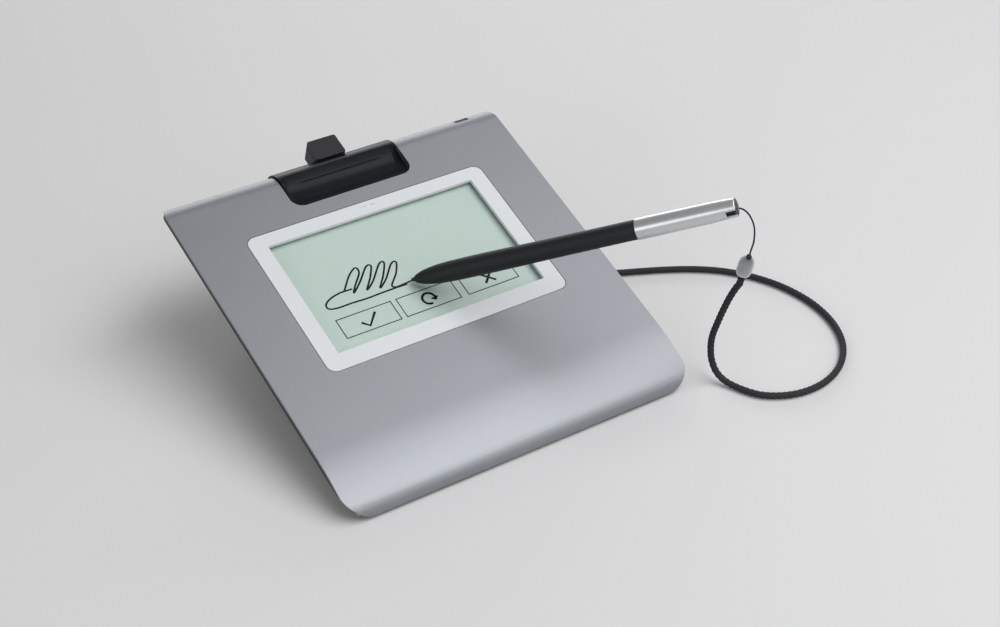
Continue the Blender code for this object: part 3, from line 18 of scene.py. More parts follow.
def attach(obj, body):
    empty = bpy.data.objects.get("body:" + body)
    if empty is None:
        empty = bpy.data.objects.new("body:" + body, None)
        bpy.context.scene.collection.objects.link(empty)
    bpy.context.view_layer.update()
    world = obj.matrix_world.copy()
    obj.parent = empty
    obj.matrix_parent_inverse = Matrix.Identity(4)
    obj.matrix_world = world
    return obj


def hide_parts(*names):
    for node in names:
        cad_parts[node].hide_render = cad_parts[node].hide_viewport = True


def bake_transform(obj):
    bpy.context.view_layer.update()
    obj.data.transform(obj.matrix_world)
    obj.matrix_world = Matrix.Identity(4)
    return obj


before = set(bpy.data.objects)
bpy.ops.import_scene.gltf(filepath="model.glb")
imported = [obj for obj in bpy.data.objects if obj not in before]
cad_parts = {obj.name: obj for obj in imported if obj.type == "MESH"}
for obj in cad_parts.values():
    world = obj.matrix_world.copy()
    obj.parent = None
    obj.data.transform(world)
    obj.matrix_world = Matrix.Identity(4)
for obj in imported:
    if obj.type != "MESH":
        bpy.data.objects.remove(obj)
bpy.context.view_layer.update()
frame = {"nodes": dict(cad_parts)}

bl_info = {
    "name": "Signature pad",
    "version": (1, 0, 0),
    "blender": (4, 5, 0),
    "location": "3D View > Sidebar > Signature pad",
    "description": "Models and finishes a signature pad with a tethered pen",
    "category": "Object",
}

NODES = frame["nodes"]

# Clearances and steps that several pieces share
GAP = 0.0003
MERGE = 0.000001
OVERRUN = 0.004
FINE = 0.00002
RIGHT_ANGLE = math.pi / 2

# The cord's route from the stand's right wall, and the thread's from the bead to the pen's tail
CORD_ROUTE = (
    (0.0416, -0.0080, 0.0052), (0.0480, -0.0085, 0.0049), (0.0580, -0.0130, 0.0030),
    (0.0680, -0.0205, 0.0018), (0.0800, -0.0295, 0.0016), (0.0907, -0.0361, 0.0016),
    (0.1018, -0.0419, 0.0016), (0.1131, -0.0473, 0.0016), (0.1243, -0.0530, 0.0016),
    (0.1350, -0.0596, 0.0016), (0.1445, -0.0677, 0.0016), (0.1521, -0.0777, 0.0016),
    (0.1575, -0.0890, 0.0016), (0.1604, -0.1012, 0.0016), (0.1607, -0.1137, 0.0016),
    (0.1582, -0.1260, 0.0016), (0.1529, -0.1374, 0.0016), (0.1448, -0.1469, 0.0016),
    (0.1343, -0.1536, 0.0016), (0.1221, -0.1566, 0.0016), (0.1098, -0.1550, 0.0016),
    (0.0993, -0.1483, 0.0016), (0.0936, -0.1373, 0.0018), (0.0911, -0.1306, 0.0042),
    (0.0900, -0.1272, 0.0095), (0.0893, -0.1266, 0.0160), (0.0886, -0.1278, 0.0230),
    (0.0888, -0.1298, 0.0300), (0.0894, -0.1320, 0.0375), (0.0905, -0.1343, 0.0450),
    (0.0915, -0.1362, 0.0500), (0.0920, -0.1375, 0.0526), (0.09235, -0.1380, 0.05565),
)
THREAD_ROUTE = (
    (0.09386, -0.13975, 0.06670), (0.0948, -0.1396, 0.0693), (0.0959, -0.1393, 0.0721),
    (0.0969, -0.1379, 0.0765), (0.0966, -0.1366, 0.0797), (0.0955, -0.1354, 0.0825),
    (0.0940, -0.1346, 0.0843), (0.0926, -0.1342, 0.0853), (0.0917, -0.1339, 0.0856),
)
# Rings to one crossing of the braid, and sides of each
BRAID_RINGS = 7
BRAID_SIDES = 24
# The bead's two ends, the way its flat face looks, and how far it swells from an ellipse to a box: 1 is none
BEAD_ENDS = ((0.0924, -0.1380, 0.0560), (0.0938, -0.1397, 0.0663))
BEAD_FACING = (-0.45, -0.69, 0.57)
BEAD_FULLNESS = 0.74
KNOT_PLACE = (0.09335, -0.14015, 0.0660)
KNOT_OUTLINE = ((0, -0.0016), (0.0008, -0.0010), (0.0011, 0), (0.0008, 0.0010), (0, 0.0016))

# Where the cover's bends end, and how much of the lip's end its outline takes off
REAR_BEND = math.radians(80.0)
FRONT_BEND = math.radians(13.0)
LIP_END = math.radians(58.0)
LIP_TRIM = 0.0001
# The tray's opening in the cover, beyond the tray
BAY_CLEARANCE = 0.0005
# The lock slot's two corners about the rear bend's axis, its place from the right edge and its turn down
LOCK_SLOT = ((-0.0035, -0.0015, 0.007), (0.0035, 0.0015, 0.015))
LOCK_INSET = 0.0155
LOCK_TILT = math.radians(-34.0)
# The threaded pillars: from each side, from the rear, under the plate, up into it, and the thread's hole
PILLAR_INSET = 0.0095
PILLAR_ROWS = (-0.014, -0.138)
PILLAR_LENGTH = 0.0042
PILLAR_SINK = 0.0006
PILLAR_RADIUS = 0.003
THREAD_RADIUS = 0.00155
THREAD_DEPTH = 0.0034

# The display's heights in the pad's frame, from the top down
TONGUE_TOP = -0.0002
FLANGE_TOP = -0.0014
FRAME_UNDERSIDE = -0.0015
GLASS_TOP = -0.0018
GLASS_UNDERSIDE = -0.0030
PANEL_TOP = -0.0033
PANEL_UNDERSIDE = -0.0051
# How far the panel reaches beyond the opening, and the corners of the opening and the glass
PANEL_MARGIN = 0.0024
WINDOW_CORNER = 0.0006
# The light slits in the frame, with the tongues of the light guide in them
SLIT_PLACES = (-0.002, 0.002)
SLIT_INSET = 0.0025
SLIT_SIZE = (0.0024, 0.0006)
SLIT_CORNER = 0.00025
TONGUE_SIZE = (0.0022, 0.00044)
# What the display shows: three boxes with a tick, a turning arrow and a cross, and a drawn line
BOX_ROW = (-0.0864, -0.0765)
BOX_SPANS = ((-0.0407, -0.0154), (-0.0127, 0.0132), (0.0169, 0.0415))
TICK = ((-0.0316, -0.0816), (-0.0289, -0.0843), (-0.0238, -0.0787))
CROSS = (((0.0267, -0.0840), (0.0317, -0.0790)), ((0.0267, -0.0790), (0.0317, -0.0840)))
ARROW_CENTRE = (0.0002, -0.0815)
ARROW_RADIUS = 0.0028
ARROW_HEAD = ((0.0014, -0.0818), (0.0028, -0.0828), (0.0040, -0.0814))
LOOPS = (
    (-0.0304, -0.0647), (-0.0244, -0.0580), (-0.0200, -0.0552), (-0.0198, -0.0582), (-0.0247, -0.0637),
    (-0.0269, -0.0668), (-0.0218, -0.0626), (-0.0156, -0.0565), (-0.0134, -0.0569), (-0.0169, -0.0624),
    (-0.0212, -0.0675), (-0.0166, -0.0643), (-0.0097, -0.0572), (-0.0075, -0.0576), (-0.0114, -0.0636),
    (-0.0157, -0.0687), (-0.0111, -0.0655), (-0.0051, -0.0592), (-0.0026, -0.0591), (-0.0056, -0.0643),
    (-0.0104, -0.0693), (-0.0094, -0.0708), (-0.0062, -0.0708), (-0.0018, -0.0704),
)
UNDERLINE = (
    (-0.0266, -0.0646), (-0.0322, -0.0645), (-0.0374, -0.0657), (-0.0404, -0.0678), (-0.0403, -0.0701),
    (-0.0367, -0.0711), (-0.0302, -0.0711), (-0.0229, -0.0714), (-0.0153, -0.0712), (-0.0086, -0.0712),
    (-0.0042, -0.0713),
)
INK_STEP = 0.0004

# The tray's heights in the pad's frame, and the wall under its rear lip
TRAY_TOP = -0.0001
TRAY_UNDERSIDE = -0.0066
TRAY_RIB_END = -0.0081
TRAY_LOW = -0.0102
TRAY_WALL = 0.002
# The rounding at the trough's ends, and the fine line along it, behind its middle
TROUGH_END_ROUNDING = 0.002
CREASE_OFFSET = 0.0047
CREASE_OUTLINE = ((0, -0.022), (0.0004, -0.018), (0.0004, 0.018), (0, 0.022))
# The room for the inlet's socket behind the tray
SOCKET_POCKET = ((-0.00495, -0.0028, -0.0102), (0.00495, 0.011, -0.0038))

# Where the pen lies
PEN_TIP = (-0.0028, -0.0432, 0.0366)
PEN_AZIMUTH = math.radians(-44.46)
PEN_ELEVATION = math.radians(21.18)
NIB_LENGTH = 0.0118
# The barrel's bores, the nib's and the main one, and the collar that goes into the cap
NIB_BORE = 0.00115
NIB_BORE_END = 0.011
BARREL_BORE = 0.0027
BARREL_STEP = 0.012
COLLAR_RADIUS = 0.0032
COLLAR_LENGTH = 0.010
# The cap: its edge, its rim's wall, its bore, and the step in the bore, from the tail
CAP_EDGE = 0.0003
CAP_RIM = 0.00045
CAP_BORE = 0.0035
CAP_STEP = 0.0004
CAP_STEP_RADIUS = 0.0030
CAP_STEP_PLACE = 0.012
# The notch's two corners about the tail, and its turn round the pen
NOTCH = ((0.0015, -0.0011, -0.0040), (0.0053, 0.0011, 0.001))
NOTCH_TURN = math.radians(186.0)
# The tail plug: under the rim, its seat from the tail, its play, its edge, and its stem
PLUG_SINK = 0.0002
PLUG_SEAT = 0.0010
PLUG_PLAY = 0.0001
PLUG_EDGE = 0.0004
PLUG_STEM = 0.0027
PLUG_LENGTH = 0.0084
# Where along its length, and how wide there, the barrel is, as shares of its length and greatest radius
BARREL_SHARES = (
    (0.0, 0.32), (0.006, 0.39), (0.018, 0.50), (0.036, 0.635), (0.060, 0.75), (0.095, 0.86), (0.14, 0.94),
    (0.20, 0.98), (0.30, 1.0), (0.45, 0.98), (0.62, 0.945), (0.80, 0.925), (1.0, 0.915),
)

# The floor, the lights' places, widths and heights, what they face, and the camera
FLOOR_HALF = 6.0
FLOOR_SINK = 0.0001
LAMPS = {
    "key": ((0.42, -0.50, 1.15), (1.5, 0.7)),
    "rear": ((0.5, 1.0, 0.32), (1.0, 0.45)),
    "fill": ((-1.0, -0.42, 0.42), (0.6, 0.4)),
    "front": ((0.55, -0.95, 0.65), (0.9, 0.5)),
}
LAMPS_FACE = (0.02, -0.06, 0.03)
CAMERA_PLACE = (-0.32078, -0.59372, 0.45620)
CAMERA_FORWARD = (0.45251, 0.68873, -0.56648)
CAMERA_RIGHT = (0.83589, -0.54889, 0.0004)
CAMERA_NEAR = 0.01
SENSOR_WIDTH = 36.0


def size(name, description, default):
    """A length property in metres."""
    return FloatProperty(name=name, description=description, default=default, unit="LENGTH", precision=5)


def power(name, description, default):
    """A lamp's power, in watts."""
    return FloatProperty(name=name, description=description, default=default, unit="POWER")


def colour(name, description, red, green, blue):
    """A colour property, its default written in the 0 to 255 values of a picture."""
    return FloatVectorProperty(
        name=name, description=description, subtype="COLOR", size=3, min=0.0, max=1.0,
        default=linear(red, green, blue),
    )


def linear(*values):
    """Linear colour from the 0 to 255 values of a picture."""
    shares = [value / 255 for value in values]
    return tuple(s / 12.92 if s <= 0.04045 else ((s + 0.055) / 1.055) ** 2.4 for s in shares)


class CasingSizes(PropertyGroup):
    width: size("Width", "Across the cover", 0.161)
    tilt: FloatProperty(
        name="Tilt", description="Rise of the writing face", default=math.radians(19), subtype="ANGLE"
    )
    rear_height: size("Rear edge height", "From the table to the rear edge", 0.061)
    rear_y: size("Rear edge place", "Of the rear edge, from the stand's middle", 0.024)
    thickness: size("Cover thickness", "Of the silver plate", 0.0012)
    rear_start: size("Rear bend start", "From the rear edge to the bend", 0.00525)
    rear_radius: size("Rear bend radius", "Outside radius of the rear bend", 0.011)
    front_start: size("Front bend start", "From the rear edge to the front bend", 0.1323)
    front_radius: size("Front bend radius", "Outside radius of the front bend", 0.105)
    lip_radius: size("Lip radius", "Outside radius of the lip at the front", 0.010)
    front_corner: size("Front corner radius", "In plan", 0.0103)
    rear_corner: size("Rear corner draw", "How far the rear corners are drawn in across the cover", 0.006)
    edge: size("Edge rounding", "Of the plate's edges, at most", 0.00022)


class DisplaySizes(PropertyGroup):
    frame_width: size("Frame width", "Across the pale frame", 0.1132)
    frame_depth: size("Frame depth", "From front to rear", 0.0745)
    frame_rear: size("Frame place", "From the rear edge to the frame", 0.0268)
    frame_corner: size("Frame corner radius", "In plan", 0.004)
    flange: size("Flange", "That lies behind the cover", 0.0030)
    window_width: size("Window width", "Across the opening", 0.0984)
    window_depth: size("Window depth", "From front to rear", 0.0600)
    window_rear: size("Window place", "From the rear edge to the opening", 0.0334)
    glass_margin: size("Glass margin", "Of the glass beyond the opening", 0.0023)
    line: size("Sign line", "Width of the lines that the screen shows", 0.00062)
    mark: size("Mark line", "Width of the lines of the signs in the boxes", 0.0011)
    ink: size("Ink line", "Width of the drawn line", 0.00082)


class TraySizes(PropertyGroup):
    width: size("Width", "Across the tray", 0.0568)
    front: size("Front", "From the rear edge to the tray's front", 0.0186)
    corner: size("Corner radius", "In plan", 0.005)
    proud: size("Lip height", "How far the rear lip stands over the cover's bend", 0.0010)
    trough_radius: size("Trough radius", "Of the pen's rest", 0.0114)
    trough_depth: size("Trough depth", "Below the top face", 0.0031)
    trough_length: size("Trough length", "Along the pen", 0.0546)
    trough_centre: size("Trough place", "From the rear edge to the trough's middle", 0.01018)


class PenSizes(PropertyGroup):
    length: size("Length", "From nib to tail", 0.1395)
    barrel_radius: size("Barrel radius", "Greatest radius of the barrel", 0.0044)
    barrel_start: size("Barrel start", "From the nib's tip", 0.0020)
    barrel_end: size("Barrel end", "From the nib's tip", 0.0985)
    cap_start: size("Cap radius", "Where it meets the barrel", 0.0044)
    shoulder: size("Cap shoulder", "From the nib's tip to where the cap draws in", 0.129)
    shoulder_radius: size("Cap shoulder radius", "Where the cap draws in", 0.0042)
    cap_end: size("Cap end radius", "At the tail", 0.0038)
    nib_radius: size("Nib radius", "Of the plastic nib", 0.00085)


class TetherSizes(PropertyGroup):
    cord: size("Cord diameter", "Of the braided cord", 0.0030)
    thread: size("Thread diameter", "Of the loop thread", 0.0007)
    bead_width: size("Bead width", "Across its flat face", 0.0064)
    bead_depth: size("Bead depth", "Through its flat face", 0.0040)
    pitch: size("Braid pitch", "Along the cord, for one crossing", 0.0023)
    relief: size("Braid relief", "Depth between the strands", 0.0004)
    strands: IntProperty(name="Strands", description="Crossings round the cord", default=6, min=4)


class FinishColours(PropertyGroup):
    cover: colour("Cover", "Silver paint", 151, 154, 159)
    frame: colour("Frame", "Pale frame", 214, 217, 220)
    screen: colour("Screen", "Ground of the display", 192, 210, 203)
    sign: colour("Signs", "Lines on the display", 6, 14, 13)
    black: colour("Black plastic", "Shell, stand and outlet", 25, 27, 30)
    gloss: colour("Gloss black", "Pen tray", 28, 32, 35)
    barrel: colour("Barrel", "Soft barrel of the pen", 23, 26, 30)
    cap: colour("Cap", "Brushed cap of the pen", 206, 208, 210)
    braid: colour("Braid", "Tether", 22, 22, 24)
    bead: colour("Bead", "Bead on the tether", 108, 113, 112)
    board: colour("Boards", "Circuit boards", 22, 84, 52)


class StageSettings(PropertyGroup):
    floor: colour("Floor", "Plain pale floor", 214, 214, 215)
    key: power("Key", "Large soft light, overhead", 13.0)
    rear: power("Rear", "Soft light behind the pad", 4.5)
    fill: power("Fill", "Soft light, left", 2.2)
    front: power("Front", "Soft light, front right", 1.8)
    sky: FloatProperty(name="Surround", description="Strength of the even surround", default=0.26)
    lens: FloatProperty(name="Lens", description="Focal length", default=66.58, unit="CAMERA")


# Spaces and outlines

def casing():
    return bpy.context.scene.pad_casing


def display():
    return bpy.context.scene.pad_display


def pad_space():
    """The pad's frame: on the rear edge, lying like the writing face."""
    sizes = casing()
    place = Matrix.Translation((0.0, sizes.rear_y, sizes.rear_height))
    return place @ Matrix.Rotation(sizes.tilt, 4, "X")


def pen_space():
    """The pen's frame: Z along the pen to its tail, Y as near straight up as that allows."""
    flat = math.cos(PEN_ELEVATION)
    along = Vector((flat * math.cos(PEN_AZIMUTH), flat * math.sin(PEN_AZIMUTH), math.sin(PEN_ELEVATION)))
    side = Vector((0.0, 0.0, 1.0)).cross(along).normalized()
    turn = Matrix((side, along.cross(side), along)).transposed().to_4x4()
    return Matrix.Translation(PEN_TIP) @ turn


def arc(centre, radius, start, end, steps):
    """Points (y, z) on an arc whose angles are counted from straight up towards +Y."""
    angles = [start + (end - start) * i / steps for i in range(steps + 1)]
    return [(centre[0] + radius * math.sin(a), centre[1] + radius * math.cos(a)) for a in angles]


def rounded(left, right, front, rear, front_radius, rear_radius=None, rear_run=None, steps=16):
    """A rectangle's outline with rounded corners. The rear pair can run further along the sides."""
    rear_radius = front_radius if rear_radius is None else rear_radius
    rear_run = rear_radius if rear_run is None else rear_run
    corners = (
        (right - rear_radius, rear - rear_run, rear_radius, rear_run, 0.0),
        (left + rear_radius, rear - rear_run, rear_radius, rear_run, RIGHT_ANGLE),
        (left + front_radius, front + front_radius, front_radius, front_radius, RIGHT_ANGLE * 2),
        (right - front_radius, front + front_radius, front_radius, front_radius, RIGHT_ANGLE * 3),
    )
    points = []
    for x, y, across, along, start in corners:
        for i in range(steps + 1):
            angle = start + RIGHT_ANGLE * i / steps
            points.append((x + across * math.cos(angle), y + along * math.sin(angle)))
    return points


def smooth_route(route, step):
    """Points about a step apart on a smooth curve through a route."""
    points = [Vector(p) for p in route]
    ends = [points[0] * 2 - points[1]] + points + [points[-1] * 2 - points[-2]]
    samples = 24
    dense = []
    for a, b, c, d in zip(ends, ends[1:], ends[2:], ends[3:]):
        bow, sway = a * 2 - b * 5 + c * 4 - d, b * 3 - a - c * 3 + d
        for i in range(samples):
            t = i / samples
            dense.append((b * 2 + (c - a) * t + bow * t * t + sway * t**3) / 2)
    dense.append(points[-1])
    length = sum((q - p).length for p, q in zip(dense, dense[1:]))
    count = max(round(length / step), 2)
    spaced = [dense[0]]
    run = 0.0
    for p, q in zip(dense, dense[1:]):
        stretch = (q - p).length
        while len(spaced) < count and run + stretch >= length * len(spaced) / count:
            spaced.append(p.lerp(q, (length * len(spaced) / count - run) / stretch))
        run += stretch
    spaced.append(dense[-1])
    return spaced


def sides(width, depth, rear, margin):
    """Left, right, front and rear of a box on the pad's middle line, grown by a margin."""
    half = width / 2 + margin
    return -half, half, -rear - depth - margin, -rear + margin


def frame_box(margin):
    """The sides of the display frame, grown by a margin."""
    d = display()
    return sides(d.frame_width, d.frame_depth, d.frame_rear, margin)


def window_box(margin):
    """The sides of the display opening, grown by a margin."""
    d = display()
    return sides(d.window_width, d.window_depth, d.window_rear, margin)


def tray_outline(margin):
    """The pen tray's plan, grown by a margin and open past the rear."""
    tray = bpy.context.scene.pad_tray
    half = tray.width / 2 + margin
    rear = casing().rear_radius + OVERRUN
    return rounded(-half, half, -tray.front - margin, rear, tray.corner + margin, OVERRUN / 4)


# Meshes

def linked(name, data):
    """An object in the scene that shows a mesh or another kind of data."""
    made = bpy.data.objects.new(name, data)
    bpy.context.scene.collection.objects.link(made)
    return made


def piece_from(name, bm):
    """A linked object from a bmesh, which is freed."""
    mesh = bpy.data.meshes.new(name)
    bm.to_mesh(mesh)
    bm.free()
    return linked(name, mesh)


def settle(piece):
    """Applies a piece's modifiers."""
    drawn = piece.evaluated_get(bpy.context.evaluated_depsgraph_get())
    mesh = bpy.data.meshes.new_from_object(drawn)
    piece.modifiers.clear()
    piece.data = mesh
    return piece


def carve(piece, tool, operation="DIFFERENCE"):
    """Cuts a piece with a tool, joins them or keeps what they share. The tool is used up."""
    step = piece.modifiers.new("carve", "BOOLEAN")
    step.operation = operation
    step.solver = "EXACT"
    step.object = tool
    settle(piece)
    bpy.data.objects.remove(tool, do_unlink=True)


def flat_sheet(bm, outlines, height=0.0):
    """A flat sheet in a bmesh, bounded by the first outline, with the others as its holes."""
    edges = []
    for outline in outlines:
        verts = [bm.verts.new((x, y, height)) for x, y in outline]
        edges += [bm.edges.new(pair) for pair in zip(verts, verts[1:] + verts[:1])]
    made = bmesh.ops.triangle_fill(bm, edges=edges, use_beauty=True, use_dissolve=False, normal=(0, 0, 1))
    return [item for item in made["geom"] if isinstance(item, bmesh.types.BMFace)]


def grow(bm, faces, way):
    """Draws flat faces along a vector into a closed body."""
    grown = bmesh.ops.extrude_face_region(bm, geom=faces, use_keep_orig=True)
    verts = [item for item in grown["geom"] if isinstance(item, bmesh.types.BMVert)]
    bmesh.ops.translate(bm, vec=way, verts=verts)
    bmesh.ops.recalc_face_normals(bm, faces=bm.faces)


def cut_across(bm, places):
    """Cuts a sheet across at each Y."""
    for y in places:
        geometry = bm.verts[:] + bm.edges[:] + bm.faces[:]
        bmesh.ops.bisect_plane(bm, geom=geometry, dist=MERGE / 10, plane_co=(0, y, 0), plane_no=(0, 1, 0))


def slab(name, outlines, high, low):
    """A plate between two heights, with holes."""
    bm = bmesh.new()
    grow(bm, flat_sheet(bm, outlines, high), (0, 0, low - high))
    bmesh.ops.dissolve_limit(bm, angle_limit=math.radians(0.1), verts=bm.verts, edges=bm.edges)
    return piece_from(name, bm)


def swept(name, section, left, right):
    """A section in Y and Z drawn along X."""
    bm = bmesh.new()
    grow(bm, [bm.faces.new([bm.verts.new((left, y, z)) for y, z in section])], (right - left, 0, 0))
    return piece_from(name, bm)


def block(name, low, high, edge=0.0):
    """A block between two corners with rounded edges."""
    bm = bmesh.new()
    bmesh.ops.create_cube(bm, size=1.0)
    low, high = Vector(low), Vector(high)
    bmesh.ops.scale(bm, vec=high - low, verts=bm.verts)
    bmesh.ops.translate(bm, vec=(low + high) / 2, verts=bm.verts)
    if edge:
        bmesh.ops.bevel(
            bm, geom=bm.edges[:], offset=edge, offset_type="OFFSET", segments=2, profile=0.5, affect="EDGES",
            material=-1,
        )
    return piece_from(name, bm)


def spun(name, profile, steps, closed=False):
    """A turned piece from (radius, height) points. A closed line has a bore as well as an outside."""
    bm = bmesh.new()
    verts = [bm.verts.new((radius, 0, height)) for radius, height in profile]
    pairs = list(zip(verts, verts[1:]))
    if closed:
        pairs.append((verts[-1], verts[0]))
    for pair in pairs:
        bm.edges.new(pair)
    bmesh.ops.spin(
        bm, geom=bm.verts[:] + bm.edges[:], cent=(0, 0, 0), axis=(0, 0, 1), angle=math.tau,
        steps=steps, use_merge=True,
    )
    bmesh.ops.remove_doubles(bm, verts=bm.verts, dist=MERGE)
    bmesh.ops.recalc_face_normals(bm, faces=bm.faces)
    return piece_from(name, bm)


def pipe(name, routes, diameter, resolution=4, cyclic=False):
    """A round line along each route, as a mesh."""
    curve = bpy.data.curves.new(name, "CURVE")
    curve.dimensions = "3D"
    curve.bevel_depth = diameter / 2
    curve.bevel_resolution = resolution
    curve.use_fill_caps = True
    for points in routes:
        spline = curve.splines.new("POLY")
        spline.points.add(len(points) - 1)
        for point, place in zip(spline.points, points):
            point.co = (*place, 1.0)
        spline.use_cyclic_u = cyclic
    guide = linked(name, curve)
    bpy.context.view_layer.update()
    mesh = bpy.data.meshes.new_from_object(guide.evaluated_get(bpy.context.evaluated_depsgraph_get()))
    bpy.data.objects.remove(guide, do_unlink=True)
    bpy.data.curves.remove(curve)
    return linked(name, mesh)


def merged(piece, *others):
    """One piece from several that don't touch."""
    bm = bmesh.new()
    for part in (piece, *others):
        bm.from_mesh(part.data)
    for part in others:
        bpy.data.objects.remove(part, do_unlink=True)
    bm.to_mesh(piece.data)
    bm.free()
    return piece


def copy_of(node):
    """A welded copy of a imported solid, with its flat faces whole again."""
    bm = bmesh.new()
    bm.from_mesh(NODES[node].data)
    bmesh.ops.remove_doubles(bm, verts=bm.verts, dist=MERGE * 5)
    bmesh.ops.dissolve_limit(bm, angle_limit=math.radians(0.5), verts=bm.verts, edges=bm.edges)
    piece = piece_from(node + "_finished", bm)
    normals = piece.data.attributes.get("custom_normal")
    if normals:
        piece.data.attributes.remove(normals)
    return piece


def soften(piece, width, segments, angle=32.0):
    """Rounds a piece's sharp edges by a width, or by the most that its tightest corner leaves room for."""
    step = piece.modifiers.new("edge", "BEVEL")
    step.width = width
    step.segments = segments
    step.limit_method = "ANGLE"
    step.angle_limit = math.radians(angle)
    step.use_clamp_overlap = True
    return settle(piece)


def dress(piece, name, body, nodes=(), space=None, angle=38.0):
    """Puts a finished mesh in its place with its material and shading, on the body that carries it."""
    mesh = piece.data
    if space is not None:
        mesh.transform(space)
    mesh.polygons.foreach_set("use_smooth", [True] * len(mesh.polygons))
    mesh.set_sharp_from_angle(angle=math.radians(angle))
    step = piece.modifiers.new("even", "WEIGHTED_NORMAL")
    step.keep_sharp = True
    settle(piece)
    piece.data.materials.clear()
    piece.data.materials.append(finish_of(name))
    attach(piece, body)
    if nodes:
        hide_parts(*nodes)
    return piece


def finish_nodes(finishes):
    """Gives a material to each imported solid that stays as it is."""
    for node, name in finishes.items():
        NODES[node].data.materials.clear()
        NODES[node].data.materials.append(finish_of(name))


def keep_weave(mesh, heights=None):
    """Keeps the heights of a braid's strands on a mesh, from which its colour paints shade between the
    strands and a highlight on their crests, or one even height.
    """
    heights = heights or [0.5] * len(mesh.vertices)
    mesh.attributes.new("weave", "FLOAT", "POINT").data.foreach_set("value", heights)


# Materials

def group(name, *values):
    """A new shader group: its tree, what it is given, and what it gives out."""
    tree = bpy.data.node_groups.new(name, "ShaderNodeTree")
    inputs = {"Vector": "Vector", "Light": "Color", "Dark": "Color", **dict.fromkeys(values, "Float")}
    outputs = {"Color": "Color", "Roughness": "Float", "Height": "Float"}
    for direction, sockets in (("INPUT", inputs), ("OUTPUT", outputs)):
        for label, kind in sockets.items():
            tree.interface.new_socket(label, in_out=direction, socket_type="NodeSocket" + kind)
    return tree, tree.nodes.new("NodeGroupInput").outputs, tree.nodes.new("NodeGroupOutput").inputs


def add(tree, kind, inputs=None, **settings):
    """A shader node with its settings and its inputs, each a value or another node's output."""
    node = tree.nodes.new("ShaderNode" + kind)
    for key, value in settings.items():
        setattr(node, key, value)
    for key, value in (inputs or {}).items():
        socket = node.inputs[key]
        if isinstance(value, bpy.types.NodeSocket):
            tree.links.new(value, socket)
        else:
            socket.default_value = value
    return node


def math_node(tree, operation, a, b=0.0, c=0.0):
    return add(tree, "Math", {0: a, 1: b, 2: c}, operation=operation).outputs[0]


def mix_colour(tree, share, a, b):
    return add(tree, "Mix", {0: share, 6: a, 7: b}, data_type="RGBA").outputs[2]


def noise(tree, vector, scale, detail, roughness=0.5):
    values = {"Vector": vector, "Scale": scale, "Detail": detail, "Roughness": roughness}
    return add(tree, "TexNoise", values).outputs[0]


def give_out(tree, given, out, tone, rough, low, high, height):
    """Links a group's outputs: a tone between dark and light, a roughness from low to high, a height."""
    tree.links.new(mix_colour(tree, tone, given["Dark"], given["Light"]), out["Color"])
    spread = add(tree, "MapRange", {"Value": rough, "To Min": low, "To Max": high})
    tree.links.new(spread.outputs[0], out["Roughness"])
    tree.links.new(height, out["Height"])


def grain_group():
    """Moulded or painted surface: slow clouds of tone and a fine grain."""
    tree, given, out = group(
        "Fine grain", "Cloud Scale", "Grain Scale", "Low Roughness", "High Roughness", "Speckle"
    )
    cloud = noise(tree, given["Vector"], given["Cloud Scale"], 3.0, 0.55)
    grain = noise(tree, given["Vector"], given["Grain Scale"], 2.0, 0.6)
    cells = add(tree, "TexVoronoi", {"Vector": given["Vector"], "Scale": given["Grain Scale"]})
    flake = add(tree, "SeparateColor", {0: cells.outputs["Color"]}).outputs[0]
    spread = math_node(tree, "MULTIPLY", math_node(tree, "SUBTRACT", flake, 0.5), given["Speckle"])
    tone = add(tree, "Math", {0: cloud, 1: spread}, operation="ADD", use_clamp=True).outputs[0]
    both = math_node(tree, "MULTIPLY_ADD", grain, 0.5, math_node(tree, "MULTIPLY", cloud, 0.5))
    give_out(tree, given, out, tone, both, given["Low Roughness"], given["High Roughness"], grain)


def brushed_group():
    """Metal brushed along the vector's X: long fine lines of tone and roughness."""
    tree, given, out = group("Brushed lines", "Line Scale", "Stretch", "Low Roughness", "High Roughness")
    parts = add(tree, "SeparateXYZ", {0: given["Vector"]}).outputs
    run = math_node(tree, "DIVIDE", parts[0], given["Stretch"])
    squeezed = add(tree, "CombineXYZ", {0: run, 1: parts[1], 2: parts[2]}).outputs[0]
    lines = noise(tree, squeezed, given["Line Scale"], 4.0, 0.65)
    broad = noise(tree, squeezed, 120.0, 1.0)
    tone = math_node(tree, "MULTIPLY_ADD", lines, 0.7, math_node(tree, "MULTIPLY", broad, 0.3))
    give_out(tree, given, out, tone, lines, given["Low Roughness"], given["High Roughness"], lines)


def stripe_group():
    """Even stripes across the vector's X, as of conductors or turns of wire."""
    tree, given, out = group("Even stripes", "Stripe Scale", "Edge", "Low Roughness", "High Roughness")
    wave = add(tree, "TexWave", {"Vector": given["Vector"], "Scale": given["Stripe Scale"]}).outputs["Fac"]
    limits = {"Value": wave, "From Min": given["Edge"], "From Max": 0.75}
    stripe = add(tree, "MapRange", limits, clamp=True).outputs[0]
    fine = noise(tree, given["Vector"], 900.0, 2.0)
    tone = math_node(tree, "MULTIPLY", stripe, math_node(tree, "MULTIPLY_ADD", fine, 0.5, 0.7))
    give_out(tree, given, out, tone, fine, given["Low Roughness"], given["High Roughness"], stripe)


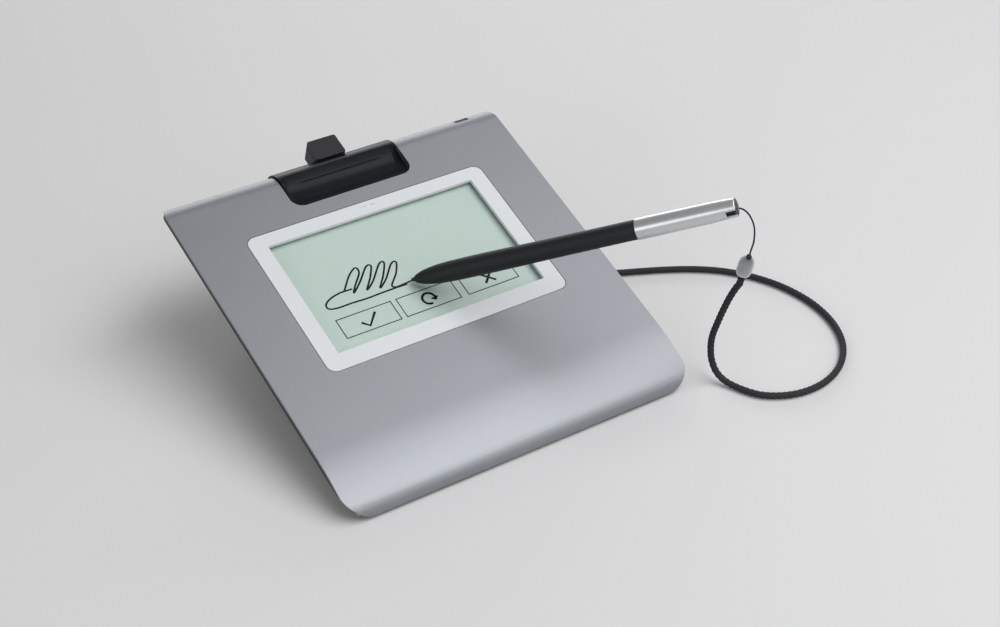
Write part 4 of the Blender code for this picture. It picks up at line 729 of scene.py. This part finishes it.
def pixel_group():
    """A display's ground: a fine grid of cells and a slow change of tone."""
    tree, given, out = group("Display cells", "Pixel Scale", "Grid")
    slow = noise(tree, given["Vector"], 18.0, 1.0)
    scaled = add(tree, "VectorMath", {0: given["Vector"], "Scale": given["Pixel Scale"]}, operation="SCALE")
    cell = add(tree, "VectorMath", {0: scaled.outputs[0]}, operation="FRACTION").outputs[0]
    parts = add(tree, "SeparateXYZ", {0: cell}).outputs
    across = math_node(tree, "GREATER_THAN", parts[0], 0.12)
    along = math_node(tree, "GREATER_THAN", parts[1], 0.12)
    inside = math_node(tree, "MULTIPLY", across, along)
    net = math_node(tree, "MULTIPLY", math_node(tree, "SUBTRACT", 1.0, inside), given["Grid"])
    tone = add(tree, "Math", {0: slow, 1: net}, operation="SUBTRACT", use_clamp=True).outputs[0]
    give_out(tree, given, out, tone, slow, 0.35, 0.5, inside)


def braid_group():
    """A braid's strands from the heights that the mesh carries: a painted shade between them and a painted
    highlight on their crests, with a random fibre tone and a real relief.
    """
    tree, given, out = group("Braid strands", "Fibre Scale")
    weave = add(tree, "Attribute", attribute_name="weave").outputs["Fac"]
    fibre = noise(tree, given["Vector"], given["Fibre Scale"], 3.0)
    tone = math_node(tree, "MULTIPLY", weave, math_node(tree, "MULTIPLY_ADD", fibre, 0.8, 0.6))
    height = math_node(tree, "MULTIPLY_ADD", fibre, 0.4, weave)
    give_out(tree, given, out, tone, fibre, 0.6, 0.9, height)


def look(name, effect, values, depth, turn=None, **shader_values):
    """A material whose colour, roughness and relief come from a group, read in object coordinates."""
    made = bpy.data.materials.new(name)
    made.use_nodes = True
    tree = made.node_tree
    shader = tree.nodes["Principled BSDF"]
    vector = add(tree, "TexCoord").outputs["Object"]
    if turn is not None:
        vector = add(tree, "Mapping", {"Vector": vector, "Rotation": turn}).outputs[0]
    node = add(tree, "Group", node_tree=bpy.data.node_groups[effect])
    tree.links.new(vector, node.inputs["Vector"])
    for label, value in values.items():
        node.inputs[label].default_value = value
    tree.links.new(node.outputs["Color"], shader.inputs["Base Color"])
    tree.links.new(node.outputs["Roughness"], shader.inputs["Roughness"])
    bump = add(tree, "Bump", {"Height": node.outputs["Height"], "Distance": depth, "Strength": 1.0})
    tree.links.new(bump.outputs[0], shader.inputs["Normal"])
    for label, value in shader_values.items():
        shader.inputs[label.replace("_", " ")].default_value = value
    return made


def shade(rgb, factor):
    """A colour made lighter or darker, with its alpha."""
    return (*(min(value * factor, 1.0) for value in rgb), 1.0)


def tones(rgb, spread):
    """The light and dark inputs round a colour."""
    return {"Light": shade(rgb, 1 + spread), "Dark": shade(rgb, 1 - spread)}


def grained(name, rgb, spread, cloud, scale, low, high, depth, speckle=0.0, **shader_values):
    """A material with the fine grain: its roughness runs from low to high, its relief is a depth."""
    values = {
        **tones(rgb, spread), "Cloud Scale": cloud, "Grain Scale": scale, "Low Roughness": low,
        "High Roughness": high, "Speckle": speckle,
    }
    return look(name, "Fine grain", values, depth, **shader_values)


def brushed(name, rgb, spread, scale, stretch, low, high, depth, turn=None, **shader_values):
    """A material with brushed lines."""
    values = {
        **tones(rgb, spread), "Line Scale": scale, "Stretch": stretch, "Low Roughness": low,
        "High Roughness": high,
    }
    look(name, "Brushed lines", values, depth, turn, **shader_values)


def striped(name, light, dark, scale, edge, low, high, depth, **shader_values):
    """A material with even stripes."""
    values = {
        "Light": shade(light, 1), "Dark": shade(dark, 1), "Stripe Scale": scale, "Edge": edge,
        "Low Roughness": low, "High Roughness": high,
    }
    look(name, "Even stripes", values, depth, **shader_values)


def painted_rim_highlight(made, highlight_colour, spread):
    """Paints a highlight round a clear piece's rim: its colour runs to a lighter one where its surface turns
    away.
    """
    tree = made.node_tree
    base = tree.nodes["Principled BSDF"].inputs["Base Color"]
    facing = add(tree, "LayerWeight", {"Blend": spread}).outputs["Facing"]
    tree.links.new(mix_colour(tree, facing, base.links[0].from_socket, highlight_colour), base)


def glass_share(made):
    """Lets a mirror show as faintly as a pane of glass does, and more where its surface turns away."""
    tree = made.node_tree
    facing = add(tree, "LayerWeight", {"Blend": 0.5}).outputs["Facing"]
    share = math_node(tree, "MULTIPLY_ADD", math_node(tree, "POWER", facing, 5.0), 0.96, 0.03)
    tree.links.new(share, tree.nodes["Principled BSDF"].inputs["Alpha"])


def make_looks():
    """Builds each group once and every material from them."""
    for build in (grain_group, brushed_group, stripe_group, pixel_group, braid_group):
        build()
    c = bpy.context.scene.pad_colours
    pen_turn = tuple(pen_space().to_euler())
    # Name, colour, spread of tone, scales of the clouds and the grain, least and most roughness, relief
    grained("silver paint", c.cover, 0.04, 35.0, 2600.0, 0.48, 0.56, 0.000005, 0.4, Metallic=0.9)
    grained("pale frame", c.frame, 0.02, 60.0, 3200.0, 0.38, 0.5, 0.000006, 0.2)
    grained("moulded black", c.black, 0.14, 50.0, 2400.0, 0.42, 0.62, 0.00002)
    grained("gloss black", c.gloss, 0.18, 45.0, 1800.0, 0.24, 0.34, 0.000001, Specular_IOR_Level=0.08)
    grained("soft black", c.barrel, 0.12, 60.0, 3600.0, 0.5, 0.64, 0.000008, Specular_IOR_Level=0.35)
    grained("nib plastic", linear(24, 24, 26), 0.1, 300.0, 4000.0, 0.35, 0.5, 0.000004)
    grained("black rubber", linear(28, 28, 29), 0.2, 60.0, 1500.0, 0.75, 0.95, 0.00004)
    grained("sign ink", c.sign, 0.12, 400.0, 3000.0, 0.5, 0.7, 0.000002, Specular_IOR_Level=0.1)
    grained("white plastic", linear(222, 220, 212), 0.04, 90.0, 2600.0, 0.35, 0.5, 0.00001)
    grained("chip resin", linear(30, 30, 32), 0.15, 200.0, 3500.0, 0.45, 0.6, 0.00001)
    grained("ferrite", linear(62, 62, 66), 0.2, 400.0, 3000.0, 0.5, 0.7, 0.00002)
    bead = grained("bead plastic", c.bead, 0.16, 260.0, 1500.0, 0.2, 0.36, 0.00002, Alpha=0.9, IOR=1.49)
    # The bead's colour runs to near white at its rim: a painted highlight
    painted_rim_highlight(bead, shade(linear(250, 252, 251), 1.0), 0.6)
    pane = grained("cover glass", linear(240, 246, 242), 0.03, 30.0, 900.0, 0.04, 0.09, 0.0, Metallic=1.0)
    glass_share(pane)
    grained("light guide", linear(232, 236, 238), 0.04, 300.0, 2000.0, 0.2, 0.35, 0.000004, Alpha=0.85)
    grained("board mask", c.board, 0.2, 160.0, 1400.0, 0.3, 0.45, 0.00002)
    # Name, colour, spread of tone, scale and stretch of the lines, least and most roughness, relief
    brushed("cap metal", c.cap, 0.1, 2600.0, 14.0, 0.3, 0.42, 0.000004, pen_turn, Metallic=0.85)
    brushed("steel", linear(176, 176, 178), 0.14, 1800.0, 10.0, 0.25, 0.42, 0.000006, Metallic=1.0)
    # Name, light and dark colour, scale of the stripes, their edge, least and most roughness, relief
    copper, backing = linear(196, 140, 84), linear(128, 78, 40)
    striped("ribbon", copper, backing, 260.0, 0.3, 0.3, 0.45, 0.00002, Coat_Weight=0.3)
    wire, between = linear(206, 128, 84), linear(96, 44, 24)
    striped("winding", wire, between, 1400.0, 0.1, 0.25, 0.4, 0.00006, Metallic=1.0)
    values = {**tones(c.screen, 0.05), "Pixel Scale": 3200.0, "Grid": 0.5}
    look("display ground", "Display cells", values, 0.000002, (-casing().tilt, 0.0, 0.0))
    # Light on the strands' crests and dark between them: a painted highlight and a painted shade
    values = {"Light": shade(c.braid, 5.5), "Dark": shade(c.braid, 0.05), "Fibre Scale": 5200.0}
    look("braid", "Braid strands", values, 0.00003, Specular_IOR_Level=0.3)


def finish_of(name):
    return bpy.data.materials[name]


# Operators

class PadOperator:
    """What every operator here shares: a failure raises, so that a script which calls it stops."""

    bl_options = {"REGISTER", "UNDO"}

    def execute(self, context):
        self.build(context)
        return {"FINISHED"}


class SIGNPAD_OT_stage(PadOperator, Operator):
    """Set the floor, the soft studio light and the camera"""

    bl_idname = "signpad.stage"
    bl_label = "Stage"

    def build(self, context):
        stage = context.scene.pad_stage
        scene = context.scene
        scene.view_settings.view_transform = "Standard"
        bm = bmesh.new()
        bmesh.ops.create_grid(bm, x_segments=2, y_segments=2, size=FLOOR_HALF)
        bmesh.ops.translate(bm, vec=(0, 0, -FLOOR_SINK), verts=bm.verts)
        floor = piece_from("floor", bm)
        floor.data.materials.append(grained("pale floor", stage.floor, 0.004, 2.0, 300.0, 0.75, 0.9, 0.0))

        world = bpy.data.worlds.new("studio")
        world.use_nodes = True
        surround = world.node_tree.nodes["Background"].inputs
        surround["Color"].default_value = (1.0, 1.0, 1.0, 1.0)
        surround["Strength"].default_value = stage.sky
        scene.world = world

        for name, (place, spread) in LAMPS.items():
            lamp = bpy.data.lights.new(name + "_light", "AREA")
            lamp.shape = "RECTANGLE"
            lamp.size, lamp.size_y = spread
            lamp.energy = getattr(stage, name)
            holder = linked(name + "_light", lamp)
            holder.location = place
            holder.rotation_euler = (Vector(LAMPS_FACE) - Vector(place)).to_track_quat("-Z", "Y").to_euler()

        camera = bpy.data.cameras.new("camera")
        camera.lens = stage.lens
        camera.sensor_width = SENSOR_WIDTH
        camera.clip_start = CAMERA_NEAR
        holder = linked("camera", camera)
        forward = Vector(CAMERA_FORWARD).normalized()
        right = Vector(CAMERA_RIGHT)
        right = (right - forward * right.dot(forward)).normalized()
        turn = Matrix((right, right.cross(forward), -forward)).transposed().to_4x4()
        holder.matrix_world = Matrix.Translation(CAMERA_PLACE) @ turn
        scene.camera = holder


class SIGNPAD_OT_tether(PadOperator, Operator):
    """Make the braided cord, its bead and the thread to the pen"""

    bl_idname = "signpad.tether"
    bl_label = "Tether"

    def build(self, context):
        sizes = context.scene.pad_tether
        step = sizes.pitch / BRAID_RINGS
        path = smooth_route(CORD_ROUTE, step)
        cord = pipe("tether_braid", [path], sizes.cord - sizes.relief, resolution=BRAID_SIDES // 2 - 2)
        self.weave(cord.data, path, step, sizes)
        cord.data.polygons.foreach_set("use_smooth", [True] * len(cord.data.polygons))
        cord.data.materials.append(finish_of("braid"))
        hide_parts("tether_cord")

        thread = pipe("tether_loop", [smooth_route(THREAD_ROUTE, sizes.thread)], sizes.thread)
        keep_weave(thread.data)
        dress(thread, "braid", "pen", ["tether_thread"], angle=60)

        knot = spun("tether_knot", KNOT_OUTLINE, 20)
        knot.data.transform(Matrix.Translation(KNOT_PLACE))
        keep_weave(knot.data)
        dress(knot, "braid", "pen", (), angle=60)

        bead = self.bead(sizes)
        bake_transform(cord)

    def weave(self, mesh, path, step, sizes):
        """Raises the strands of two crossing windings on the cord, and keeps their heights for the relief
        and for the painted shade and highlight.
        """
        around = len(mesh.vertices) // len(path)
        heights = [0.5] * len(mesh.vertices)
        for i, centre in enumerate(path):
            run = i * step / sizes.pitch
            for j in range(around):
                vert = mesh.vertices[i * around + j]
                turn = j / around * sizes.strands
                first = math.sin(math.pi * ((turn + run) % 1.0))
                second = math.sin(math.pi * ((turn - run) % 1.0))
                height = math.sqrt(max(first * second, 0.0))
                heights[vert.index] = height
                vert.co += (vert.co - centre).normalized() * (height - 0.5) * sizes.relief
        keep_weave(mesh, heights)

    def bead(self, sizes):
        """The flattened oval bead on the end of the cord."""
        foot, head = Vector(BEAD_ENDS[0]), Vector(BEAD_ENDS[1])
        along = (head - foot).normalized()
        across = along.cross(Vector(BEAD_FACING)).normalized()
        turn = Matrix((across, along, across.cross(along))).transposed().to_4x4()
        bm = bmesh.new()
        bmesh.ops.create_uvsphere(bm, u_segments=48, v_segments=32, radius=0.5)
        for vert in bm.verts:
            vert.co = [math.copysign(abs(v * 2) ** BEAD_FULLNESS / 2, v) for v in vert.co]
        bmesh.ops.scale(bm, vec=(sizes.bead_width, (head - foot).length, sizes.bead_depth), verts=bm.verts)
        bead = piece_from("bead", bm)
        space = Matrix.Translation((foot + head) / 2) @ turn
        return dress(bead, "bead plastic", "pen", ["tether_bead"], space, 80)


class SIGNPAD_OT_cover(PadOperator, Operator):
    """Make the silver cover with its bends, its openings and its threaded pillars"""

    bl_idname = "signpad.cover"
    bl_label = "Cover"

    def build(self, context):
        s = casing()
        half = s.width / 2
        cover = self.plate(s, half, self.side_line(s))
        slot = block("lock_slot", *LOCK_SLOT)
        corner = Matrix.Translation((half - LOCK_INSET, -s.rear_start, -s.rear_radius))
        slot.data.transform(corner @ Matrix.Rotation(LOCK_TILT, 4, "X"))
        carve(cover, slot)
        soften(cover, s.edge, 3)
        merged(cover, *self.pillars(s, half))
        dress(cover, "silver paint", "pad", ["top_cover"], pad_space())

    def side_line(self, s):
        """The cover's outer face seen from the side, from the rear bend's end to the lip's."""
        reach = s.front_radius - s.lip_radius
        lip = (-s.front_start - reach * math.sin(FRONT_BEND), -s.front_radius + reach * math.cos(FRONT_BEND))
        line = arc((-s.rear_start, -s.rear_radius), s.rear_radius, REAR_BEND, 0.0, 24)
        line += arc((-s.front_start, -s.front_radius), s.front_radius, 0.0, -FRONT_BEND, 20)
        return line + arc(lip, s.lip_radius, -FRONT_BEND, -LIP_END, 12)[1:]

    def plate(self, s, half, line):
        """The plate: a flat sheet with its openings, laid over the side line and thickened."""
        front, rear = line[-1][0], line[0][0]
        rear_end = s.rear_radius - s.rear_start
        plan = rounded(
            -half, half, front + LIP_TRIM, rear_end, s.front_corner, s.rear_corner, s.rear_radius, steps=20
        )
        plan = [(x, min(y, rear)) for x, y in plan]
        bm = bmesh.new()
        flat_sheet(bm, [plan, rounded(*frame_box(GAP), display().frame_corner + GAP)])
        sheet = piece_from("cover_sheet", bm)
        bay = slab("bay", [tray_outline(BAY_CLEARANCE)], OVERRUN, -OVERRUN)
        thick = sheet.modifiers.new("thick", "SOLIDIFY")
        thick.thickness = FINE
        settle(sheet)
        carve(sheet, bay)
        bm = bmesh.new()
        bm.from_mesh(sheet.data)
        bpy.data.objects.remove(sheet, do_unlink=True)
        low = min(v.co.z for v in bm.verts)
        bmesh.ops.delete(bm, geom=[v for v in bm.verts if v.co.z < low + FINE / 2], context="VERTS")
        cut_across(bm, [y for y, _ in line[1:-1]])
        heights = sorted(line)
        for vert in bm.verts:
            y = min(max(vert.co.y, front), rear)
            for (y0, z0), (y1, z1) in zip(heights, heights[1:]):
                if y0 <= y <= y1:
                    vert.co.z = z0 + (z1 - z0) * (y - y0) / (y1 - y0)
                    break
        bmesh.ops.dissolve_limit(bm, angle_limit=math.radians(0.05), verts=bm.verts, edges=bm.edges)
        # The flat stretch ends in a narrow strip at each bend, which keeps its shading even
        cut_across(bm, (-s.front_start + s.thickness, -s.rear_start - s.thickness))
        bmesh.ops.recalc_face_normals(bm, faces=bm.faces)
        if sum(f.normal.z * f.calc_area() for f in bm.faces) < 0:
            bmesh.ops.reverse_faces(bm, faces=bm.faces)
        cover = piece_from("cover", bm)
        step = cover.modifiers.new("plate", "SOLIDIFY")
        step.thickness = s.thickness
        step.offset = -1.0
        step.use_even_offset = True
        return settle(cover)

    def pillars(self, s, half):
        """The threaded pillars that take the casing screws."""
        low = -s.thickness - PILLAR_LENGTH
        outline = (
            (THREAD_RADIUS, low), (THREAD_RADIUS, low + THREAD_DEPTH), (0, low + THREAD_DEPTH),
            (0, -PILLAR_SINK), (PILLAR_RADIUS, -PILLAR_SINK), (PILLAR_RADIUS, low),
        )
        made = []
        for x in (-half + PILLAR_INSET, half - PILLAR_INSET):
            for y in PILLAR_ROWS:
                pillar = spun("pillar", outline, 28, closed=True)
                pillar.data.transform(Matrix.Translation((x, y, 0)))
                made.append(pillar)
        return made


class SIGNPAD_OT_frame(PadOperator, Operator):
    """Make the pale frame round the display"""

    bl_idname = "signpad.frame"
    bl_label = "Display frame"

    def build(self, context):
        d = display()
        y = -d.frame_rear - SLIT_INSET
        wide, deep = SLIT_SIZE[0] / 2, SLIT_SIZE[1] / 2
        slits = [rounded(x - wide, x + wide, y - deep, y + deep, SLIT_CORNER, steps=4) for x in SLIT_PLACES]
        outside = rounded(*frame_box(0), d.frame_corner)
        top = slab("frame", [outside, rounded(*window_box(0), WINDOW_CORNER), *slits], 0, FRAME_UNDERSIDE)
        soften(top, 0.00022, 3)
        outside = rounded(*frame_box(d.flange), d.frame_corner)
        seat = rounded(*window_box(d.glass_margin + GAP), WINDOW_CORNER)
        flange = slab("flange", [outside, seat, *slits], FLANGE_TOP, GLASS_UNDERSIDE)
        soften(flange, 0.00012, 2)
        merged(top, flange)
        wide, deep = TONGUE_SIZE[0] / 2, TONGUE_SIZE[1] / 2
        tongues = [
            block("tongue", (x - wide, y - deep, FLANGE_TOP), (x + wide, y + deep, TONGUE_TOP))
            for x in SLIT_PLACES
        ]
        dress(merged(*tongues), "light guide", "pad", (), pad_space())
        dress(top, "pale frame", "pad", ["display_bezel"], pad_space())


class SIGNPAD_OT_screen(PadOperator, Operator):
    """Make the glass, the display and what it shows: three boxes with plain signs and a drawn line"""

    bl_idname = "signpad.screen"
    bl_label = "Screen"

    def build(self, context):
        d = display()
        outline = rounded(*window_box(d.glass_margin), WINDOW_CORNER)
        glass = slab("glass", [outline], GLASS_TOP, GLASS_UNDERSIDE)
        soften(glass, 0.00012, 2)
        dress(glass, "cover glass", "pad", ["cover_glass"], pad_space())
        left, right, front, rear = window_box(PANEL_MARGIN)
        panel = block("panel", (left, front, PANEL_UNDERSIDE), (right, rear, PANEL_TOP), 0.0002)
        dress(panel, "display ground", "pad", ["lcd_panel"], pad_space())

        front, rear = BOX_ROW
        boxes = [[(x0, front), (x1, front), (x1, rear), (x0, rear)] for x0, x1 in BOX_SPANS]
        angles = [math.radians(a) for a in range(-20, 281, 10)]
        x, y = ARROW_CENTRE
        around = [(x + ARROW_RADIUS * math.cos(a), y + ARROW_RADIUS * math.sin(a)) for a in angles]
        signs = self.flat_line("screen_signs", boxes, d.line, True)
        merged(signs, self.flat_line("marks", [TICK, *CROSS, around, ARROW_HEAD], d.mark))
        dress(signs, "sign ink", "pad", (), pad_space())
        routes = [smooth_route([(x, y, 0) for x, y in path], INK_STEP) for path in (LOOPS, UNDERLINE)]
        ink = self.flat_line("screen_scribble", [[(p.x, p.y) for p in route] for route in routes], d.ink)
        dress(ink, "sign ink", "pad", (), pad_space())

    def flat_line(self, name, paths, width, cyclic=False):
        """Lines of one width, flattened onto the display."""
        line = pipe(name, [[(x, y, 0) for x, y in path] for path in paths], width, 2, cyclic)
        flat = Matrix.Diagonal((1, 1, FINE / width, 1))
        line.data.transform(Matrix.Translation((0, 0, PANEL_TOP + FINE)) @ flat)
        return line


class SIGNPAD_OT_tray(PadOperator, Operator):
    """Make the gloss tray with its trough and raised rear lip"""

    bl_idname = "signpad.tray"
    bl_label = "Pen tray"

    def build(self, context):
        s, t = casing(), context.scene.pad_tray
        half = t.width / 2
        lip = arc((-s.rear_start, -s.rear_radius), s.rear_radius + t.proud, 0.0, REAR_BEND, 32)
        lip = [point for point in lip if point[1] > TRAY_UNDERSIDE]
        rib = lip[-1][0]
        section = [(-t.front, TRAY_TOP), (-t.trough_centre, TRAY_TOP), *lip]
        section += [(rib, TRAY_RIB_END), (rib - TRAY_WALL, TRAY_RIB_END), (rib - TRAY_WALL, TRAY_UNDERSIDE)]
        section += [(-t.front, TRAY_UNDERSIDE)]
        tray = swept("tray", section, -half - OVERRUN, half + OVERRUN)
        carve(tray, slab("tray_plan", [tray_outline(0)], OVERRUN, TRAY_LOW), "INTERSECT")
        centre = Vector((0, -t.trough_centre, t.trough_radius - t.trough_depth))
        carve(tray, self.trough(t, centre))
        below = math.sqrt(t.trough_radius**2 - CREASE_OFFSET**2)
        crease = spun("crease", CREASE_OUTLINE, 16)
        place = Matrix.Translation(centre + Vector((0, CREASE_OFFSET, -below)))
        crease.data.transform(place @ Matrix.Rotation(RIGHT_ANGLE, 4, "Y"))
        carve(tray, crease)
        carve(tray, block("socket_pocket", *SOCKET_POCKET))
        soften(tray, 0.0003, 3)
        dress(tray, "gloss black", "pad", ["pen_tray"], pad_space())

    def trough(self, t, centre):
        """The round bar with rounded ends that the pen's rest is cut with."""
        bm = bmesh.new()
        bmesh.ops.create_cone(
            bm, cap_ends=True, segments=128, radius1=t.trough_radius, radius2=t.trough_radius,
            depth=t.trough_length,
        )
        rims = [e for e in bm.edges if abs(e.calc_face_angle(0) - RIGHT_ANGLE) < 0.1]
        bmesh.ops.bevel(
            bm, geom=rims, offset=TROUGH_END_ROUNDING, offset_type="OFFSET", segments=10, profile=0.5,
            affect="EDGES", material=-1,
        )
        bmesh.ops.rotate(bm, cent=(0, 0, 0), matrix=Matrix.Rotation(RIGHT_ANGLE, 3, "Y"), verts=bm.verts)
        bmesh.ops.translate(bm, vec=centre, verts=bm.verts)
        return piece_from("trough", bm)


class SIGNPAD_OT_casing(PadOperator, Operator):
    """Finish the shell, the outlet, the lock plate, the feet, the stand and every screw"""

    bl_idname = "signpad.casing"
    bl_label = "Casing and stand"

    def build(self, context):
        plastic = {
            "bottom_shell": 0.00025, "outlet_upper": 0.0004, "outlet_lower": 0.0004, "rear_stand": 0.0003,
            "tether_anchor": 0.00015,
        }
        rubber = {"stand_sole": 0.0003, "front_foot_left": 0.0004, "front_foot_right": 0.0004}
        steel = {"lock_plate": 0.0001, "inlet_socket": 0.00008}
        steel.update({node: 0.00008 for node in NODES if "_screw_" in node})
        for edges, name, slot in (
            (plastic, "moulded black", "black_plastic"), (rubber, "black rubber", "black_rubber"),
            (steel, "steel", "steel"),
        ):
            for node, width in edges.items():
                dress(soften(copy_of(node), width, 2), name, "pad", [node])


class SIGNPAD_OT_electronics(PadOperator, Operator):
    """Finish the boards, the ribbons, the light and what else is inside the casing"""

    bl_idname = "signpad.electronics"
    bl_label = "Electronics"

    def build(self, context):
        finish_nodes({
            "sensor_board": "board mask", "main_board": "board mask", "light_board": "board mask",
            "shield_plate": "steel", "controller_chip": "chip resin", "display_connector": "white plastic",
            "sensor_connector": "white plastic", "display_ribbon": "ribbon", "sensor_ribbon": "ribbon",
            "status_light": "white plastic", "light_pipe": "light guide", "inlet_lead": "nib plastic",
        })


class SIGNPAD_OT_pen(PadOperator, Operator):
    """Make the pen: nib, soft barrel, brushed cap with its notch, and tail plug"""

    bl_idname = "signpad.pen"
    bl_label = "Pen"

    def build(self, context):
        p = context.scene.pad_pen
        space = pen_space()
        self.barrel(p, space)
        self.cap(p, space)
        self.nib(p.nib_radius, space)
        self.plug(p, space)
        finish_nodes({
            "pen_core": "ferrite", "pen_coil": "winding", "pen_board": "board mask",
            "pressure_sensor": "chip resin",
        })

    def barrel(self, p, space):
        """The soft barrel, with the collar that holds the cap and the nib's bore."""
        length = p.barrel_end - p.barrel_start
        shares = smooth_route([(along, wide, 0.0) for along, wide in BARREL_SHARES], BARREL_STEP)
        outer = [(p.barrel_radius * share.y, p.barrel_start + length * share.x) for share in shares]
        outer[-1] = (outer[-1][0], p.barrel_end)
        collar_end = p.barrel_end + COLLAR_LENGTH
        profile = [(BARREL_BORE, collar_end), (COLLAR_RADIUS, collar_end), (COLLAR_RADIUS, p.barrel_end)]
        profile += outer[::-1]
        profile += [(NIB_BORE, p.barrel_start), (NIB_BORE, NIB_BORE_END), (BARREL_BORE, NIB_BORE_END)]
        barrel = soften(spun("barrel", profile, 72, closed=True), 0.00008, 2, 40)
        dress(barrel, "soft black", "pen", ["pen_barrel"], space)

    def cap(self, p, space):
        """The brushed cap, with the thread's notch in its rim."""
        start, end, bore = p.barrel_end + GAP, p.length, p.cap_end - CAP_RIM
        step = end - CAP_STEP_PLACE
        profile = (
            (bore, end), (p.cap_end - CAP_EDGE, end), (p.cap_end, end - CAP_EDGE),
            (p.shoulder_radius, p.shoulder), (p.cap_start, start + CAP_EDGE / 2),
            (p.cap_start - CAP_EDGE / 2, start), (CAP_BORE, start), (CAP_BORE, step - CAP_STEP),
            (CAP_STEP_RADIUS, step), (CAP_STEP_RADIUS, end - PLUG_SEAT - CAP_STEP / 2),
            (bore, end - PLUG_SEAT),
        )
        cap = spun("cap", profile, 96, closed=True)
        notch = block("notch", *NOTCH)
        notch.data.transform(Matrix.Rotation(NOTCH_TURN, 4, "Z") @ Matrix.Translation((0, 0, end)))
        carve(cap, notch)
        soften(cap, 0.00012, 2, 40)
        dress(cap, "cap metal", "pen", ["pen_cap"], space)

    def nib(self, radius, space):
        """The nib, with its round tip."""
        angles = [RIGHT_ANGLE * i / 8 for i in range(9)]
        tip = [(radius * math.cos(a), radius * (1 - math.sin(a))) for a in angles]
        nib = spun("nib", [(0, NIB_LENGTH), (radius, NIB_LENGTH), *tip], 40)
        dress(nib, "nib plastic", "nib", ["pen_nib"], space, angle=60)

    def plug(self, p, space):
        """The dark plug that closes the cap nearly to its rim."""
        end, face = p.length, p.length - PLUG_SINK
        flange = p.cap_end - CAP_RIM - PLUG_PLAY
        profile = (
            (0, face), (flange - PLUG_EDGE, face), (flange, face - PLUG_EDGE),
            (flange, end - PLUG_SEAT + PLUG_PLAY), (PLUG_STEM, end - PLUG_SEAT - PLUG_PLAY),
            (PLUG_STEM, end - PLUG_LENGTH), (0, end - PLUG_LENGTH),
        )
        plug = spun("tail_plug", profile, 64)
        dress(plug, "nib plastic", "pen", ["pen_tail_plug"], space)


class SIGNPAD_PT_panel(Panel):
    """The pad's steps, sizes and colours"""

    bl_idname = "SIGNPAD_PT_panel"
    bl_label = "Signature pad"
    bl_space_type = "VIEW_3D"
    bl_region_type = "UI"
    bl_category = "Signature pad"

    def draw(self, context):
        for step in STEPS:
            self.layout.operator(step.bl_idname)
        for name in GROUPS:
            box = self.layout.box()
            group_values = getattr(context.scene, name)
            for label in GROUPS[name].__annotations__:
                box.prop(group_values, label)


STEPS = (
    SIGNPAD_OT_stage, SIGNPAD_OT_tether, SIGNPAD_OT_cover, SIGNPAD_OT_frame, SIGNPAD_OT_screen,
    SIGNPAD_OT_tray, SIGNPAD_OT_casing, SIGNPAD_OT_electronics, SIGNPAD_OT_pen,
)
GROUPS = {
    "pad_casing": CasingSizes, "pad_display": DisplaySizes, "pad_tray": TraySizes, "pad_pen": PenSizes,
    "pad_tether": TetherSizes, "pad_colours": FinishColours, "pad_stage": StageSettings,
}


def register():
    for kind in (*GROUPS.values(), *STEPS, SIGNPAD_PT_panel):
        bpy.utils.register_class(kind)
    for name, kind in GROUPS.items():
        setattr(bpy.types.Scene, name, PointerProperty(type=kind))


def unregister():
    for name in GROUPS:
        delattr(bpy.types.Scene, name)
    for kind in (SIGNPAD_PT_panel, *reversed(STEPS), *reversed(GROUPS.values())):
        bpy.utils.unregister_class(kind)


def main():
    """Makes everything in order."""
    register()
    make_looks()
    bpy.ops.signpad.stage()
    bpy.ops.signpad.tether()
    bpy.ops.signpad.cover()
    bpy.ops.signpad.frame()
    bpy.ops.signpad.screen()
    bpy.ops.signpad.tray()
    bpy.ops.signpad.casing()
    bpy.ops.signpad.electronics()
    bpy.ops.signpad.pen()


if __name__ == "__main__":
    main()
